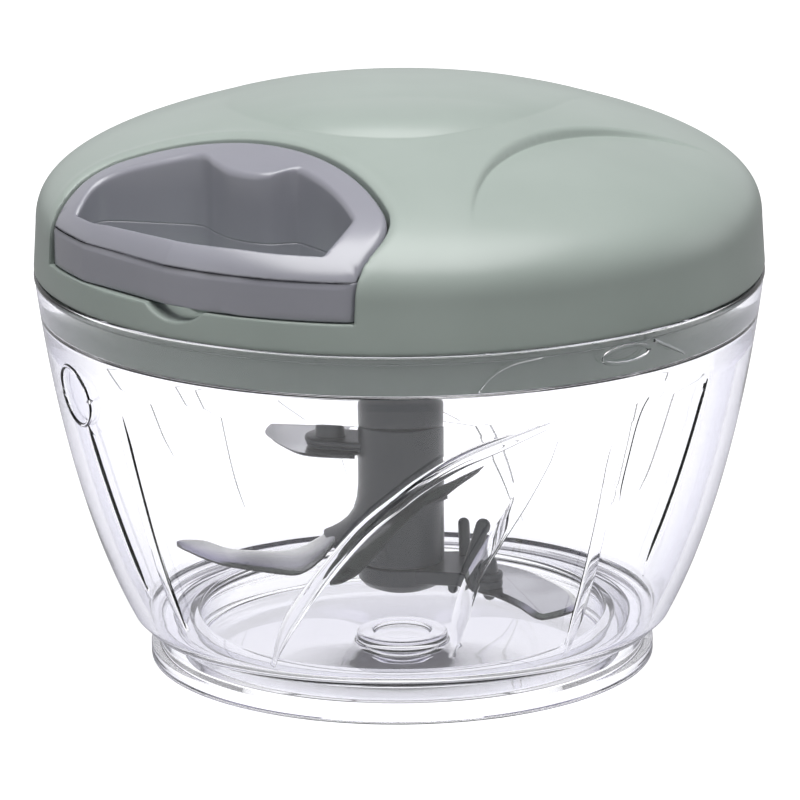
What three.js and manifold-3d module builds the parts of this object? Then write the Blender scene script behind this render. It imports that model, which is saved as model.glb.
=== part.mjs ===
// Hand chopper with a pull cord: a clear ribbed bowl, a domed lid with a handle let into it,
// a cord drum with a recoil spring under the lid, and a hub with four blades.
// Millimetres, +Z up. The foot stands on z = 0 and the drive shaft is on the Z axis.
import Module from 'manifold-3d';
import * as THREE from 'three';
import { mergeVertices } from 'three/addons/utils/BufferGeometryUtils.js';

const wasm = await Module();
wasm.setup();
const deg = Math.PI / 180;

// Gaps between pieces, and the overrun of cutting solids
const gap = 0.3;
const overrun = 3;
const weldDistance = 0.0001;
const headShare = 0.8;
const chamferShare = 0.3;

// Facets round the large and the small turned pieces
const wideFacets = 44;
const midFacets = 30;
const smallFacets = 16;

// Bowl
const rimRadius = 65;
const rimHeight = 71.6;
const bowlWall = 2.2;
const rimWall = 2.4;
const ledgeDrop = 7.6;
const bellySpread = 3.2;
const bellyHeight = 9;
const bellyShares = [[0.479, 0.24], [0.819, 0.6]];
const bellySteps = 9;
const footRadius = 45.2;
const footHeight = 2.6;
const footStep = 3.5;
const footWall = 2;
const neckInset = 1.5;
const neckHeight = 7.2;
const neckSpread = 1.4;
const wellInset = 8.8;
const shelfHeight = 8.3;
const floorUnder = 0.5;
const floorTop = 2;
const innerCorner = 3;
const bossRadius = 8.2;
const bossBore = 5.2;
const bossHeight = 1.7;
const bossDimple = 0.8;

// Ribs on the bowl: azimuths in degrees, heights as shares of the rim height; each one repeats at half a turn
const ribRadius = 1.1;
const ribProud = 0.8;
const ribSides = 5;
const ribStep = 7;
const sailShares = [[242.7, 0.149], [253.3, 0.37], [263.3, 0.546], [269.6, 0.63], [279.8, 0.736],
  [296.7, 0.817]];
const sailBackShares = [[296.7, 0.79], [290.2, 0.63], [282.5, 0.416], [279.7, 0.198]];
const dropRibShares = [[218.9, 0.81], [221.6, 0.162]];
const sideRibShares = [[207.1, 0.733], [213, 0.26]];
const stemRibShares = [[306.9, 0.792], [304.9, 0.155]];
const leafRibShares = [[317.2, 0.869], [312.4, 0.803], [309.6, 0.54]];
const branchRibShares = [[328.5, 0.862], [320, 0.332]];

// Lid: heights above its edge
const lidGap = 0.35;
const lidHeight = 31.52;
const crownRadius = 141.11;
const crownReach = 43.74;
const crownPull = 0.7;
const shoulderPull = 0.24;
const sideLean = 0.54;
const sideHeight = 8.58;
const lidWall = 2.2;
const crownSteps = 5;
const shoulderSteps = 7;

// Raised oval on the crown: its front edge is a slope, and it sinks into the crown at the back
const moundRadius = 31;
const moundBack = 4.5;
const moundRise = 1.8;
const moundTilt = 1.8;
const moundSlope = 28;
const moundEdgeDrop = 2.67;

// Leaf-shaped hollow on the right of the crown
const leafAzimuth = 319.8;
const leafApex = 32;
const leafArc = 50;
const leafShift = 10;
const leafDrop = 4.1;

// Handle, in its own frame: u points out of the lid along its azimuth, v to the right of that
const handleAzimuth = 231;
const handleBack = 32.1;
const handleArc = 56;
const handleCorner = 9;
const handleInnerCorner = 4.6;
const handleHalfWidth = 33.9;
const handleSill = 5.55;
const handleSink = 0.3;
const handleBar = 5.9;
const handleFrontWall = 4.1;
const handleLowerHeight = 6.8;
const arcFacets = 10;
const knobRadius = 8.3;
const knobCentre = 34.7;

// Recess in the lid that the handle lies in, with a finger notch in its front sill
const recessGap = 0.5;
const recessWall = 2;
const recessFloorWall = 2;
const notchRadius = 9.7;
const notchSide = 2.4;
const notchDepth = 2.4;
const notchInset = 8;
const notchWall = 1.6;

// Inner cover under the lid, with the skirt that fits inside the bowl
const coverSink = 0.6;
const coverPlateThickness = 2;
const skirtClearance = 0.4;
const skirtWall = 2.2;
const skirtDrop = 4.8;
const skirtLip = 1.8;
const collarRadius = 9.8;
const collarDrop = 3;

// Lid screws in bosses under the crown
const screwInset = 14.2;
const screwAzimuths = [handleAzimuth - 125, handleAzimuth - 62, handleAzimuth + 62, handleAzimuth + 125];
const screwRadius = 1.3;
const screwHeadRadius = 2.8;
const screwHeadHeight = 1.6;
const screwLength = 10;
const screwBossRadius = 3.8;

// Drive shaft: hexagonal spigot, visible sleeve, journal and hexagonal seat of the drum
const spigotRadius = 4.8;
const spigotLength = 3.6;
const sleeveRadius = 7.5;
const journalRadius = 4.2;
const seatRadius = 4.2;
const bushWall = 2.1;

// Cord and its winding
const cordRadius = 1;
const cordRise = 18.45;
const cordTurns = 3;
const cordPitch = 2.5;
const stepsPerTurn = 24;
const cordSides = 6;
const runSides = 8;
const runSteps = 14;
const cordBend = 3;

// Drum, its cap, and the fixed arbor with the recoil spring inside the drum's cup
const drumCore = 17;
const drumWall = 1.5;
const cupRadius = 25;
const cupWall = 1.8;
const drumCapRadius = 24;
const drumCapThickness = 1.4;
const arborRadius = 7.2;
const arborFlange = 10;
const arborFlangeThickness = 0.8;
const springTurns = 5;
const springStepsPerTurn = 18;
const springStrip = 0.5;
const washerRadius = 7;
const washerThickness = 0.8;
const capScrewRadius = 1.4;
const capScrewDepth = 7;
const capScrewHead = 3.4;
const capScrewHeadHeight = 1.8;

// Cord eyelet in the back wall of the recess, and the stop that holds the cord in the handle
const eyeletRadius = 2.6;
const eyeletFlange = 4.2;
const eyeletFlangeThickness = 1;
const stopRadius = 2.3;
const stopLength = 4;
const stopPlace = 37;
const handleScrewInset = 15.9;
const handleScrewRadius = 1.1;
const handleScrewHeadRadius = 1.9;
const handleScrewHeadHeight = 1.4;
const handleScrewReach = 5;

// Hub and its base ring
const hubRadius = 7.7;
const hubTop = 42.8;
const hubBottom = 17.2;
const baseRingRadius = 7.75;
const baseRingBottom = 12.8;
const baseRingRound = 0.9;
const nubRadius = 5.5;
const nubHeight = 0.6;
const tenonRadius = 4.4;
const tenonHeight = 6.5;

// Upper arm of the hub, its post and the blade under it
const upperArmTop = 39.3;
const upperArmThickness = 1.6;
const upperArmReach = 13.2;
const upperArmAzimuth = 164.2;
const upperArmHalfWidth = 4.6;
const postRadius = 2.55;
const postHeight = 3.7;
const studRadius = 1.5;
const studLength = 1.8;

// Lower arm of the base ring, its collar and posts
const lowerArmThickness = 2.6;
const lowerArmShare = 0.465;
const lowerArmShares = [[0.1, 0.29], [0.68, 0.29], [0.74, -0.1], [0.82, -0.36], [0.97, -0.52], [0.99, -0.68],
  [0.86, -0.78], [0.7, -0.68], [0.56, -0.5], [0.1, -0.45]];
const collarShares = [0.403, -0.297];
const collarPostRadius = 2.4;
const collarHeight = 1.1;
const coneRadius = 1.6;
const coneHeight = 3.4;
const rivetRadius = 1.2;
const rivetLength = 1.6;
const longPost = { base: [11.7, -7.6], lean: [3.3, 2.6], height: 9, radius: 1.35 };
const shortPost = { base: [11.5, 0.5], lean: [0.9, 1.1], height: 7, radius: 1.1 };
const lowerPin = { place: [9.2, -7.4], radius: 1, length: 1.6 };

// Roots of the left and front blades on the hub
const leftRootSide = 3.6;
const leftRootShift = -0.6;
const leftRootReach = 15.5;
const leftRootHeight = 13.3;
const leftRootShares = [[-0.3, 1], [-0.49, 0.95], [-0.58, 0.7], [-0.74, 0.52], [-1, 0.37], [-1, 0.12],
  [-0.75, 0.04], [-0.3, 0.04]];
const frontRootThickness = 2.4;
const frontRootPull = 0.55;
const frontRootSteps = [4, 7];

// Blades: steel thickness, and each outline as two edges in shares of the blade's reach from the shaft
const bladeThickness = 0.9;
const upperBladeReach = 28.7;
const upperBladeShares = [[-0.29, -0.09], [-0.48, -0.06], [-0.62, 0.007], [-0.725, 0.17], [-0.8, 0.335],
  [-0.82, 0.45], [-0.79, 0.59], [-0.73, 0.683], [-0.64, 0.75], [-0.54, 0.795], [-0.42, 0.826], [-0.3, 0.812],
  [-0.35, 0.72], [-0.36, 0.42], [-0.3, 0.2]];
const leftBladeReach = 40.6;
const leftBladeTop = 20.4;
const leftBladeRise = 3.4;
const leftBladeFlat = 20;
const leftBladeBackShares = [[-0.225, 0.1], [-0.3, 0.075], [-0.374, 0.003], [-0.458, -0.057],
  [-0.571, -0.099], [-0.754, -0.064], [-0.877, 0.064], [-0.97, 0.067], [-1, 0.02]];
const leftBladeFrontShares = [[-0.225, -0.1], [-0.288, -0.153], [-0.345, -0.318], [-0.426, -0.438],
  [-0.51, -0.436], [-0.736, -0.323], [-0.852, -0.214], [-0.965, -0.057], [-0.998, 0]];
const lowerBladeReach = 38.7;
const lowerBladeTop = 15.2;
const lowerBladeShares = [[0.275, 0.09], [0.4, 0.1], [0.455, 0.093], [0.587, -0.023], [0.682, -0.168],
  [0.765, -0.331], [0.798, -0.473], [0.801, -0.566], [0.77, -0.641], [0.669, -0.731], [0.605, -0.731],
  [0.527, -0.558], [0.429, -0.398], [0.375, -0.351], [0.32, -0.28], [0.275, -0.2]];
const frontBladeReach = 28.6;
const frontBladeUpperShares = [[-0.423, -0.895, 0.748], [-0.371, -0.734, 0.79], [-0.332, -0.629, 0.815],
  [-0.196, -0.44, 0.909], [0.035, -0.315, 1.046], [0.175, -0.265, 1.12], [0.31, -0.12, 1.143],
  [0.42, 0.025, 1.154], [0.528, 0.14, 1.164]];
const frontBladeLowerShares = [[-0.42, -0.909, 0.706], [-0.336, -0.86, 0.738], [-0.269, -0.804, 0.766],
  [-0.168, -0.685, 0.846], [-0.014, -0.507, 0.972], [0.122, -0.395, 1.052], [0.273, -0.265, 1.091],
  [0.392, -0.08, 1.133], [0.524, 0.125, 1.158]];

// Places that follow from the sizes above
const ledgeHeight = rimHeight - ledgeDrop;
const neckRadius = footRadius - neckInset;
const neckCornerRadius = footRadius + neckSpread;
const bellyRadius = footRadius + bellySpread;
const wellRadius = footRadius - wellInset;
const lidRadius = rimRadius;
const sideRadius = lidRadius - sideLean;
const lidEdge = rimHeight + lidGap;
const lidTop = lidEdge + lidHeight;
const sideTop = lidEdge + sideHeight;
const moundEdgeHeight = lidTop - moundEdgeDrop;
const handleBottom = lidEdge + handleSill;
const handleSplit = handleBottom + handleLowerHeight;
const handleFront = lidRadius - handleFrontWall;
const notchReach = lidRadius - notchInset;
const cordHeight = lidEdge + cordRise;
const coverPlateTop = rimHeight - coverSink;
const coverPlateUnder = coverPlateTop - coverPlateThickness;
const skirtRadius = rimRadius - rimWall - skirtClearance;
const skirtBottom = coverPlateUnder - skirtDrop;
const skirtTop = coverPlateTop + skirtLip;
const screwCircle = skirtRadius - screwInset;
const collarBottom = coverPlateUnder - collarDrop;
const sleeveTop = collarBottom - gap;
const recessFloor = handleBottom - gap;
const recessBack = handleBack - recessGap;
const beyondLid = lidRadius + overrun;
const windingRadius = drumCore + gap + cordRadius;
const drumWebTop = cordHeight - cordPitch * (cordTurns + 1) - cordRadius - gap;
const drumWebUnder = drumWebTop - drumWall;
const drumCapUnder = cordHeight + cordRadius + gap;
const seatBottom = drumWebUnder - gap;
const shaftTop = drumCapUnder + drumCapThickness + gap;
const eyeletInside = recessBack - recessWall - gap - eyeletFlangeThickness;
const windingEnd = -Math.acos(windingRadius / (eyeletInside - cordBend));
const handleScrewSeat = handleBottom + handleScrewHeadHeight + 2 * gap;
const baseRingTop = hubBottom - gap;
const lowerArmReach = lowerArmShare * lowerBladeReach;
const collarPlace = collarShares.map((share) => share * lowerBladeReach);
const handleScrewSide = handleHalfWidth - handleScrewInset;
const upperArmUnder = upperArmTop - upperArmThickness;
const upperBladeTop = upperArmUnder - gap;

// Turns a geometry into a solid: shared corners merged, flat triangles dropped, faces turned outwards
function solid(geometry) {
  const bare = geometry.clone();
  bare.deleteAttribute('normal');
  bare.deleteAttribute('uv');
  const welded = mergeVertices(bare, weldDistance);
  const points = welded.attributes.position;
  const index = welded.index.array;
  const faces = [];
  let volume = 0;
  const a = new THREE.Vector3();
  const b = new THREE.Vector3();
  const c = new THREE.Vector3();
  for (let i = 0; i < index.length; i += 3) {
    const [p, q, r] = [index[i], index[i + 1], index[i + 2]];
    if (p === q || q === r || r === p) continue;
    faces.push(p, q, r);
    a.fromBufferAttribute(points, p);
    b.fromBufferAttribute(points, q);
    c.fromBufferAttribute(points, r);
    volume += a.dot(b.cross(c));
  }
  if (volume < 0) faces.reverse();
  return new wasm.Manifold(new wasm.Mesh({
    numProp: 3,
    vertProperties: new Float32Array(points.array),
    triVerts: new Uint32Array(faces),
  }));
}

// Turns a solid back into a geometry
function geometryOf(body) {
  const mesh = body.getMesh();
  const geometry = new THREE.BufferGeometry();
  geometry.setAttribute('position', new THREE.BufferAttribute(new Float32Array(mesh.vertProperties), 3));
  geometry.setIndex(new THREE.BufferAttribute(new Uint32Array(mesh.triVerts), 1));
  geometry.computeVertexNormals();
  return geometry;
}

// Solid of revolution about Z from radius and height pairs, closed on itself or on the axis
function revolve(profile, facets) {
  const closed = profile[0][0] > 0 ? [...profile, profile[0]] : profile;
  const lathe = new THREE.LatheGeometry(closed.map(([r, z]) => new THREE.Vector2(r, z)), facets);
  lathe.rotateX(Math.PI / 2);
  return solid(lathe);
}

// Plain ring between two radii and two heights
function ring(inner, outer, bottom, top, facets) {
  return revolve([[inner, bottom], [outer, bottom], [outer, top], [inner, top]], facets);
}

// Plain disc or post on the axis between two heights
function disc(radius, bottom, top, facets) {
  return revolve([[0, bottom], [radius, bottom], [radius, top], [0, top]], facets);
}

// Upright prism of a shape between two heights
function prism(shape, bottom, top, curveFacets = arcFacets) {
  const flat = new THREE.ExtrudeGeometry(shape, {
    depth: top - bottom, bevelEnabled: false, curveSegments: curveFacets,
  });
  flat.translate(0, 0, bottom);
  return solid(flat);
}

function box(low, high) {
  const size = high.map((value, axis) => value - low[axis]);
  const block = new THREE.BoxGeometry(...size);
  block.translate(...low.map((value, axis) => value + size[axis] / 2));
  return solid(block);
}

// Cylinder from one point to another
function rod(start, end, radius, facets) {
  const from = new THREE.Vector3(...start);
  const to = new THREE.Vector3(...end);
  const along = to.clone().sub(from);
  const cylinder = new THREE.CylinderGeometry(radius, radius, along.length(), facets);
  cylinder.applyQuaternion(
    new THREE.Quaternion().setFromUnitVectors(new THREE.Vector3(0, 1, 0), along.clone().normalize()));
  cylinder.translate(...from.add(to).multiplyScalar(0.5).toArray());
  return solid(cylinder);
}

// Tube of a round section along a smooth curve
function tube(points, radius, sides, steps) {
  const section = new THREE.Shape(Array.from({ length: sides }, (_, k) => {
    const angle = (2 * Math.PI * k) / sides;
    return new THREE.Vector2(radius * Math.cos(angle), radius * Math.sin(angle));
  }));
  const path = new THREE.CatmullRomCurve3(points, false, 'centripetal');
  return solid(new THREE.ExtrudeGeometry(section, { steps, extrudePath: path, bevelEnabled: false }));
}

function turned(body, degrees) {
  return body.rotate([0, 0, degrees]);
}

function joined(bodies) {
  return bodies.reduce((whole, body) => whole.add(body));
}

// Sheet of even thickness between two edges of as many points, above them by the thickness
function sheet(edgeA, edgeB, thickness) {
  const count = edgeA.length;
  const corners = [];
  edgeA.forEach((a, i) => {
    const b = edgeB[i];
    const next = Math.min(i + 1, count - 1);
    const last = Math.max(i - 1, 0);
    const along = edgeA[next].clone().add(edgeB[next]).sub(edgeA[last]).sub(edgeB[last]);
    const up = along.cross(b.clone().sub(a)).normalize().multiplyScalar(thickness);
    if (up.z < 0) up.negate();
    corners.push(a, b, b.clone().sub(up), a.clone().sub(up));
  });
  const faces = [];
  const quad = (p, q, r, s) => faces.push(p, q, r, p, r, s);
  for (let i = 0; i + 1 < count; i += 1) {
    const here = 4 * i;
    const there = here + 4;
    for (let side = 0; side < 4; side += 1) {
      const other = (side + 1) % 4;
      quad(here + side, here + other, there + other, there + side);
    }
  }
  const end = 4 * (count - 1);
  quad(3, 2, 1, 0);
  quad(end, end + 1, end + 2, end + 3);
  const geometry = new THREE.BufferGeometry();
  geometry.setAttribute('position', new THREE.Float32BufferAttribute(corners.flatMap((p) => p.toArray()), 3));
  geometry.setIndex(faces);
  return solid(geometry);
}

// Bowl wall: the curve of its outside, from the belly's foot to the rim
function bellyCurve() {
  const spot = ([across, up]) => new THREE.Vector2(
    bellyRadius + across * (rimRadius - bellyRadius), bellyHeight + up * (rimHeight - bellyHeight));
  return new THREE.CubicBezierCurve(spot([0, 0]), spot(bellyShares[0]), spot(bellyShares[1]), spot([1, 1]));
}

function bowlRadiusAt(height) {
  const curve = bellyCurve();
  let low = 0;
  let high = 1;
  for (let i = 0; i < 30; i += 1) {
    const middle = (low + high) / 2;
    if (curve.getPoint(middle).y < height) low = middle;
    else high = middle;
  }
  return curve.getPoint(low).x;
}

function bowlBody() {
  const outside = bellyCurve().getPoints(bellySteps).map((p) => [p.x, p.y]);
  const inside = bellyCurve().getPoints(bellySteps)
    .map((p, i) => {
      const slope = bellyCurve().getTangent(i / bellySteps);
      return [p.x - bowlWall * slope.y, p.y + bowlWall * slope.x];
    })
    .filter(([, z]) => z > shelfHeight + innerCorner && z < ledgeHeight - bowlWall)
    .reverse();
  const rimInside = rimRadius - rimWall;
  const ledgeInside = bowlRadiusAt(ledgeHeight) - bowlWall;
  const groove = wellRadius + footWall;
  const grooveOuter = neckRadius - footWall;
  const grooveTop = shelfHeight - footWall;
  return revolve([
    [0, floorUnder], [groove, floorUnder], [groove, grooveTop], [grooveOuter, grooveTop], [grooveOuter, 0],
    [footRadius, 0], [footRadius, footHeight], [neckRadius, footStep], [neckRadius, neckHeight],
    [neckCornerRadius, neckHeight], ...outside,
    [rimInside, rimHeight], [rimInside, ledgeHeight], [ledgeInside, ledgeHeight - (rimInside - ledgeInside)],
    ...inside,
    [neckCornerRadius, shelfHeight + chamferShare * innerCorner],
    [neckCornerRadius - innerCorner, shelfHeight],
    [wellRadius, shelfHeight], [wellRadius, floorTop],
    [bossRadius, floorTop], [bossRadius, floorTop + bossHeight], [bossBore, floorTop + bossHeight],
    [bossBore, floorTop + bossHeight - bossDimple], [0, floorTop + bossHeight - bossDimple],
  ], wideFacets);
}

// Rib laid half into the bowl's outside along its azimuths and heights
function rib(shares, turn) {
  const way = new THREE.CatmullRomCurve3(shares.map(([azimuth, share]) => {
    const height = share * rimHeight;
    const reach = bowlRadiusAt(height) - ribRadius + ribProud;
    const angle = (azimuth + turn) * deg;
    return new THREE.Vector3(reach * Math.cos(angle), reach * Math.sin(angle), height);
  }));
  const steps = Math.round(way.getLength() / ribStep);
  const points = way.getPoints(steps).map((point) => {
    const reach = bowlRadiusAt(point.z) - ribRadius + ribProud;
    const stretch = reach / Math.hypot(point.x, point.y);
    return new THREE.Vector3(point.x * stretch, point.y * stretch, point.z);
  });
  return tube(points, ribRadius, ribSides, steps);
}

function bowl() {
  const ribs = [
    sailShares, sailBackShares, dropRibShares, sideRibShares, stemRibShares, leafRibShares, branchRibShares,
  ];
  return joined([bowlBody(), ...ribs.flatMap((shares) => [rib(shares, 0), rib(shares, 180)])]);
}

// Outside of the lid from the crown to the edge, moved in by a distance
function lidOutline(inset) {
  const reachAngle = Math.asin(crownReach / crownRadius);
  const centre = lidTop - crownRadius;
  const points = [];
  for (let i = 0; i < crownSteps; i += 1) {
    const angle = (reachAngle * i) / crownSteps;
    points.push([crownRadius * Math.sin(angle), centre + crownRadius * Math.cos(angle)]);
  }
  const start = new THREE.Vector2(crownReach, centre + crownRadius * Math.cos(reachAngle));
  const end = new THREE.Vector2(sideRadius, sideTop);
  const span = start.distanceTo(end);
  const leave = new THREE.Vector2(Math.cos(reachAngle), -Math.sin(reachAngle)).multiplyScalar(crownPull * span);
  const arrive = new THREE.Vector2(0, shoulderPull * span);
  const shoulder = new THREE.CubicBezierCurve(start, start.clone().add(leave), end.clone().add(arrive), end);
  shoulder.getPoints(shoulderSteps).forEach((p) => points.push([p.x, p.y]));
  points.push([lidRadius, lidEdge]);
  return points.map(([r, z], i) => {
    const before = points[Math.max(i - 1, 0)];
    const after = points[Math.min(i + 1, points.length - 1)];
    const tangent = new THREE.Vector2(after[0] - before[0], after[1] - before[1]).normalize();
    const inward = new THREE.Vector2(tangent.y, -tangent.x).multiplyScalar(inset);
    return i === 0 ? [0, z - inset] : [r + inward.x, z + inward.y];
  });
}

// Full block under the lid's outside, moved in by a distance, down to a height
function lidBlock(inset, bottom) {
  const outline = lidOutline(inset);
  const edge = outline[outline.length - 1];
  return revolve([[0, bottom], [edge[0], bottom], ...outline.slice(0, -1).reverse()], wideFacets);
}

function mound() {
  const spread = (height) => (moundEdgeHeight - height) / Math.tan(moundSlope * deg);
  const bottom = moundEdgeHeight - overrun;
  const top = moundEdgeHeight + 2 * overrun;
  const cone = revolve([
    [0, bottom], [moundRadius + spread(bottom), bottom], [moundRadius + spread(top), top], [0, top],
  ], wideFacets).translate([0, moundBack, 0]);
  const cap = lidBlock(0, lidEdge)
    .translate([0, 0, moundRise - lidTop])
    .rotate([-moundTilt, 0, 0])
    .translate([0, 0, lidTop - moundRise / 2]);
  return cone.intersect(cap);
}

function leafHollow() {
  const place = disc(leafArc, lidEdge, lidTop + overrun, wideFacets).translate([leafApex + leafArc, 0, 0]);
  const bed = lidBlock(0, lidEdge - overrun).translate([leafShift, 0, -leafDrop]);
  return turned(place.subtract(bed), leafAzimuth);
}

// Outline of the handle from above, grown by a margin: back arc, two corners, straight sides
function handleOutline(margin, corner, front) {
  const halfWidth = handleHalfWidth + margin;
  const arc = handleArc + margin;
  const arcCentre = handleBack + handleArc;
  const cornerV = halfWidth - corner;
  const cornerU = arcCentre - Math.sqrt((arc - corner) ** 2 - cornerV ** 2);
  const turn = Math.atan2(cornerV, arcCentre - cornerU);
  const shape = new THREE.Shape();
  shape.moveTo(front, -halfWidth);
  shape.lineTo(front, halfWidth);
  shape.absarc(cornerU, cornerV, corner, Math.PI / 2, Math.PI - turn, false);
  shape.absarc(arcCentre, 0, arc, Math.PI - turn, Math.PI + turn, false);
  shape.absarc(cornerU, -cornerV, corner, Math.PI + turn, 1.5 * Math.PI, false);
  shape.closePath();
  return shape;
}

function recess() {
  const outline = handleOutline(recessGap, handleCorner + recessGap, beyondLid);
  return prism(outline, recessFloor, lidTop + 2 * overrun);
}

function tray() {
  const margin = recessGap + recessWall;
  const outline = handleOutline(margin, handleCorner + margin, beyondLid);
  return prism(outline, recessFloor - recessFloorWall, lidTop + 2 * overrun);
}

function notch(grow, reach) {
  const axis = recessFloor - notchDepth + notchRadius;
  return rod([reach, notchSide, axis], [beyondLid, notchSide, axis], notchRadius + grow, midFacets);
}

function screwPlaces() {
  return screwAzimuths.map((azimuth) => [
    screwCircle * Math.cos(azimuth * deg), screwCircle * Math.sin(azimuth * deg),
  ]);
}

function lidShell() {
  const outside = lidBlock(0, lidEdge).add(mound()).subtract(leafHollow());
  const notchPad = notch(notchWall, notchReach - notchWall).intersect(
    box([0, -handleHalfWidth, lidEdge], [beyondLid, handleHalfWidth, recessFloor]));
  const bosses = screwPlaces().map(([x, y]) => disc(screwBossRadius, coverPlateTop + gap, lidTop, smallFacets)
    .translate([x, y, 0]));
  const pilots = screwPlaces().map(([x, y]) => disc(
    screwRadius + gap, coverPlateTop - overrun, coverPlateTop + screwLength, smallFacets).translate([x, y, 0]));
  const kept = joined([turned(tray().add(notchPad), handleAzimuth), ...bosses]);
  const hollow = lidBlock(lidWall, lidEdge - overrun).subtract(kept);
  const throat = turned(rod(
    [recessBack - recessWall - overrun, 0, cordHeight], [recessBack + overrun, 0, cordHeight],
    eyeletRadius + gap, smallFacets), handleAzimuth);
  const skin = outside.subtract(hollow).subtract(turned(recess(), handleAzimuth));
  const cuts = [throat, turned(notch(0, notchReach), handleAzimuth), ...pilots];
  return cuts.reduce((body, cut) => body.subtract(cut), skin);
}

// Inner cover: plate, skirt and the collar that holds the bush, with holes for the lid screws
function lidInnerCover() {
  const bushSeat = journalRadius + gap + bushWall + gap;
  const body = revolve([
    [bushSeat, collarBottom], [collarRadius, collarBottom], [collarRadius, coverPlateUnder],
    [skirtRadius - skirtWall, coverPlateUnder], [skirtRadius - skirtWall, skirtBottom],
    [skirtRadius, skirtBottom], [skirtRadius, skirtTop], [skirtRadius - skirtWall, skirtTop],
    [skirtRadius - skirtWall, coverPlateTop], [bushSeat, coverPlateTop],
  ], wideFacets);
  return screwPlaces().reduce((plate, [x, y]) => plate.subtract(disc(
    screwRadius + gap, coverPlateUnder - overrun, coverPlateTop + overrun, smallFacets)
    .translate([x, y, 0])), body);
}

// Pan-headed screw whose head sits under a face at a height
function screwUp(under, radius, head, headHeight, length) {
  const bottom = under - gap - headHeight;
  return revolve([
    [0, bottom], [headShare * head, bottom], [head, bottom + chamferShare * headHeight], [head, under - gap],
    [radius, under - gap], [radius, under + length - radius], [0, under + length],
  ], smallFacets);
}

function lidScrew([x, y]) {
  const reach = coverPlateTop - coverPlateUnder + screwLength - 2 * gap;
  return screwUp(coverPlateUnder, screwRadius, screwHeadRadius, screwHeadHeight, reach).translate([x, y, 0]);
}

function shaftBush() {
  const bore = journalRadius + gap;
  return ring(bore, bore + bushWall, collarBottom + gap, coverPlateTop, midFacets);
}

function springArbor() {
  const bore = journalRadius + gap;
  const bottom = coverPlateTop + gap;
  return revolve([
    [bore, bottom], [arborFlange, bottom], [arborFlange, bottom + arborFlangeThickness],
    [arborRadius, bottom + arborFlangeThickness], [arborRadius, drumWebUnder - gap], [bore, drumWebUnder - gap],
  ], midFacets);
}

// Clock spring: a strip wound outwards from the arbor at a steady rate
function recoilSpring() {
  const start = arborRadius + gap;
  const end = cupRadius - cupWall - gap - springStrip;
  const steps = springTurns * springStepsPerTurn;
  const bottom = coverPlateTop + gap + arborFlangeThickness + gap;
  const top = drumWebUnder - gap;
  const corners = [];
  const faces = [];
  for (let i = 0; i <= steps; i += 1) {
    const angle = (2 * Math.PI * i) / springStepsPerTurn;
    const inner = start + ((end - start) * i) / steps;
    const outer = inner + springStrip;
    [[inner, bottom], [outer, bottom], [outer, top], [inner, top]].forEach(([r, z]) => {
      corners.push(r * Math.cos(angle), r * Math.sin(angle), z);
    });
    for (let side = 0; side < 4 && i < steps; side += 1) {
      const here = 4 * i + side;
      const beside = 4 * i + ((side + 1) % 4);
      faces.push(here, beside, beside + 4, here, beside + 4, here + 4);
    }
  }
  const last = 4 * steps;
  faces.push(0, 3, 2, 0, 2, 1, last, last + 1, last + 2, last, last + 2, last + 3);
  const geometry = new THREE.BufferGeometry();
  geometry.setAttribute('position', new THREE.Float32BufferAttribute(corners, 3));
  geometry.setIndex(faces);
  return solid(geometry);
}

// Drive shaft: hexagonal spigot in the hub, sleeve, journal in the bush, hexagonal seat of the drum
function driveShaft() {
  const spigotBottom = hubTop - spigotLength;
  const spigot = disc(spigotRadius, spigotBottom, hubTop + gap, 6);
  const sleeve = disc(sleeveRadius, hubTop + gap, sleeveTop, midFacets);
  const journal = disc(journalRadius, sleeveTop, seatBottom, midFacets);
  const seat = disc(seatRadius, seatBottom, shaftTop, 6);
  const screwHole = disc(capScrewRadius + gap, shaftTop - capScrewDepth - gap, shaftTop + overrun, smallFacets);
  return joined([spigot, sleeve, journal, seat]).subtract(screwHole);
}

// Drum: a cup round the spring, a web, the core that the cord is wound on, and a hexagonal bore
function cordDrum() {
  const cupBottom = coverPlateTop + 2 * gap;
  const post = journalRadius + gap + 2 * drumWall;
  const body = revolve([
    [0, drumWebUnder], [cupRadius - cupWall, drumWebUnder], [cupRadius - cupWall, cupBottom],
    [cupRadius, cupBottom], [cupRadius, drumWebTop], [drumCore, drumWebTop], [drumCore, drumCapUnder - gap],
    [drumCore - drumWall, drumCapUnder - gap], [drumCore - drumWall, drumWebTop],
    [post, drumWebTop], [post, drumCapUnder - gap], [0, drumCapUnder - gap],
  ], midFacets);
  return body.subtract(disc(seatRadius + gap, drumWebUnder - overrun, drumCapUnder + overrun, 6));
}

function drumCap() {
  const plate = disc(drumCapRadius, drumCapUnder, drumCapUnder + drumCapThickness, midFacets);
  return plate.subtract(disc(seatRadius + gap, drumCapUnder - overrun, drumCapUnder + overrun, 6));
}

function drumWasher() {
  const bottom = shaftTop + gap;
  return ring(capScrewRadius + gap, washerRadius, bottom, bottom + washerThickness, midFacets);
}

function shaftScrew() {
  const under = shaftTop + 2 * gap + washerThickness;
  return revolve([
    [0, shaftTop - capScrewDepth], [capScrewRadius, shaftTop - capScrewDepth], [capScrewRadius, under],
    [capScrewHead, under], [capScrewHead, under + capScrewHeadHeight / 2],
    [headShare * capScrewHead, under + capScrewHeadHeight], [0, under + capScrewHeadHeight],
  ], smallFacets);
}

// Winding: one tube that climbs round the core and ends a pitch under the cord that leaves the drum
function windingPoint(angle) {
  const turnsLeft = 1 + (windingEnd - angle) / (2 * Math.PI);
  return new THREE.Vector3(
    windingRadius * Math.cos(angle), windingRadius * Math.sin(angle), cordHeight - cordPitch * turnsLeft);
}

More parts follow.
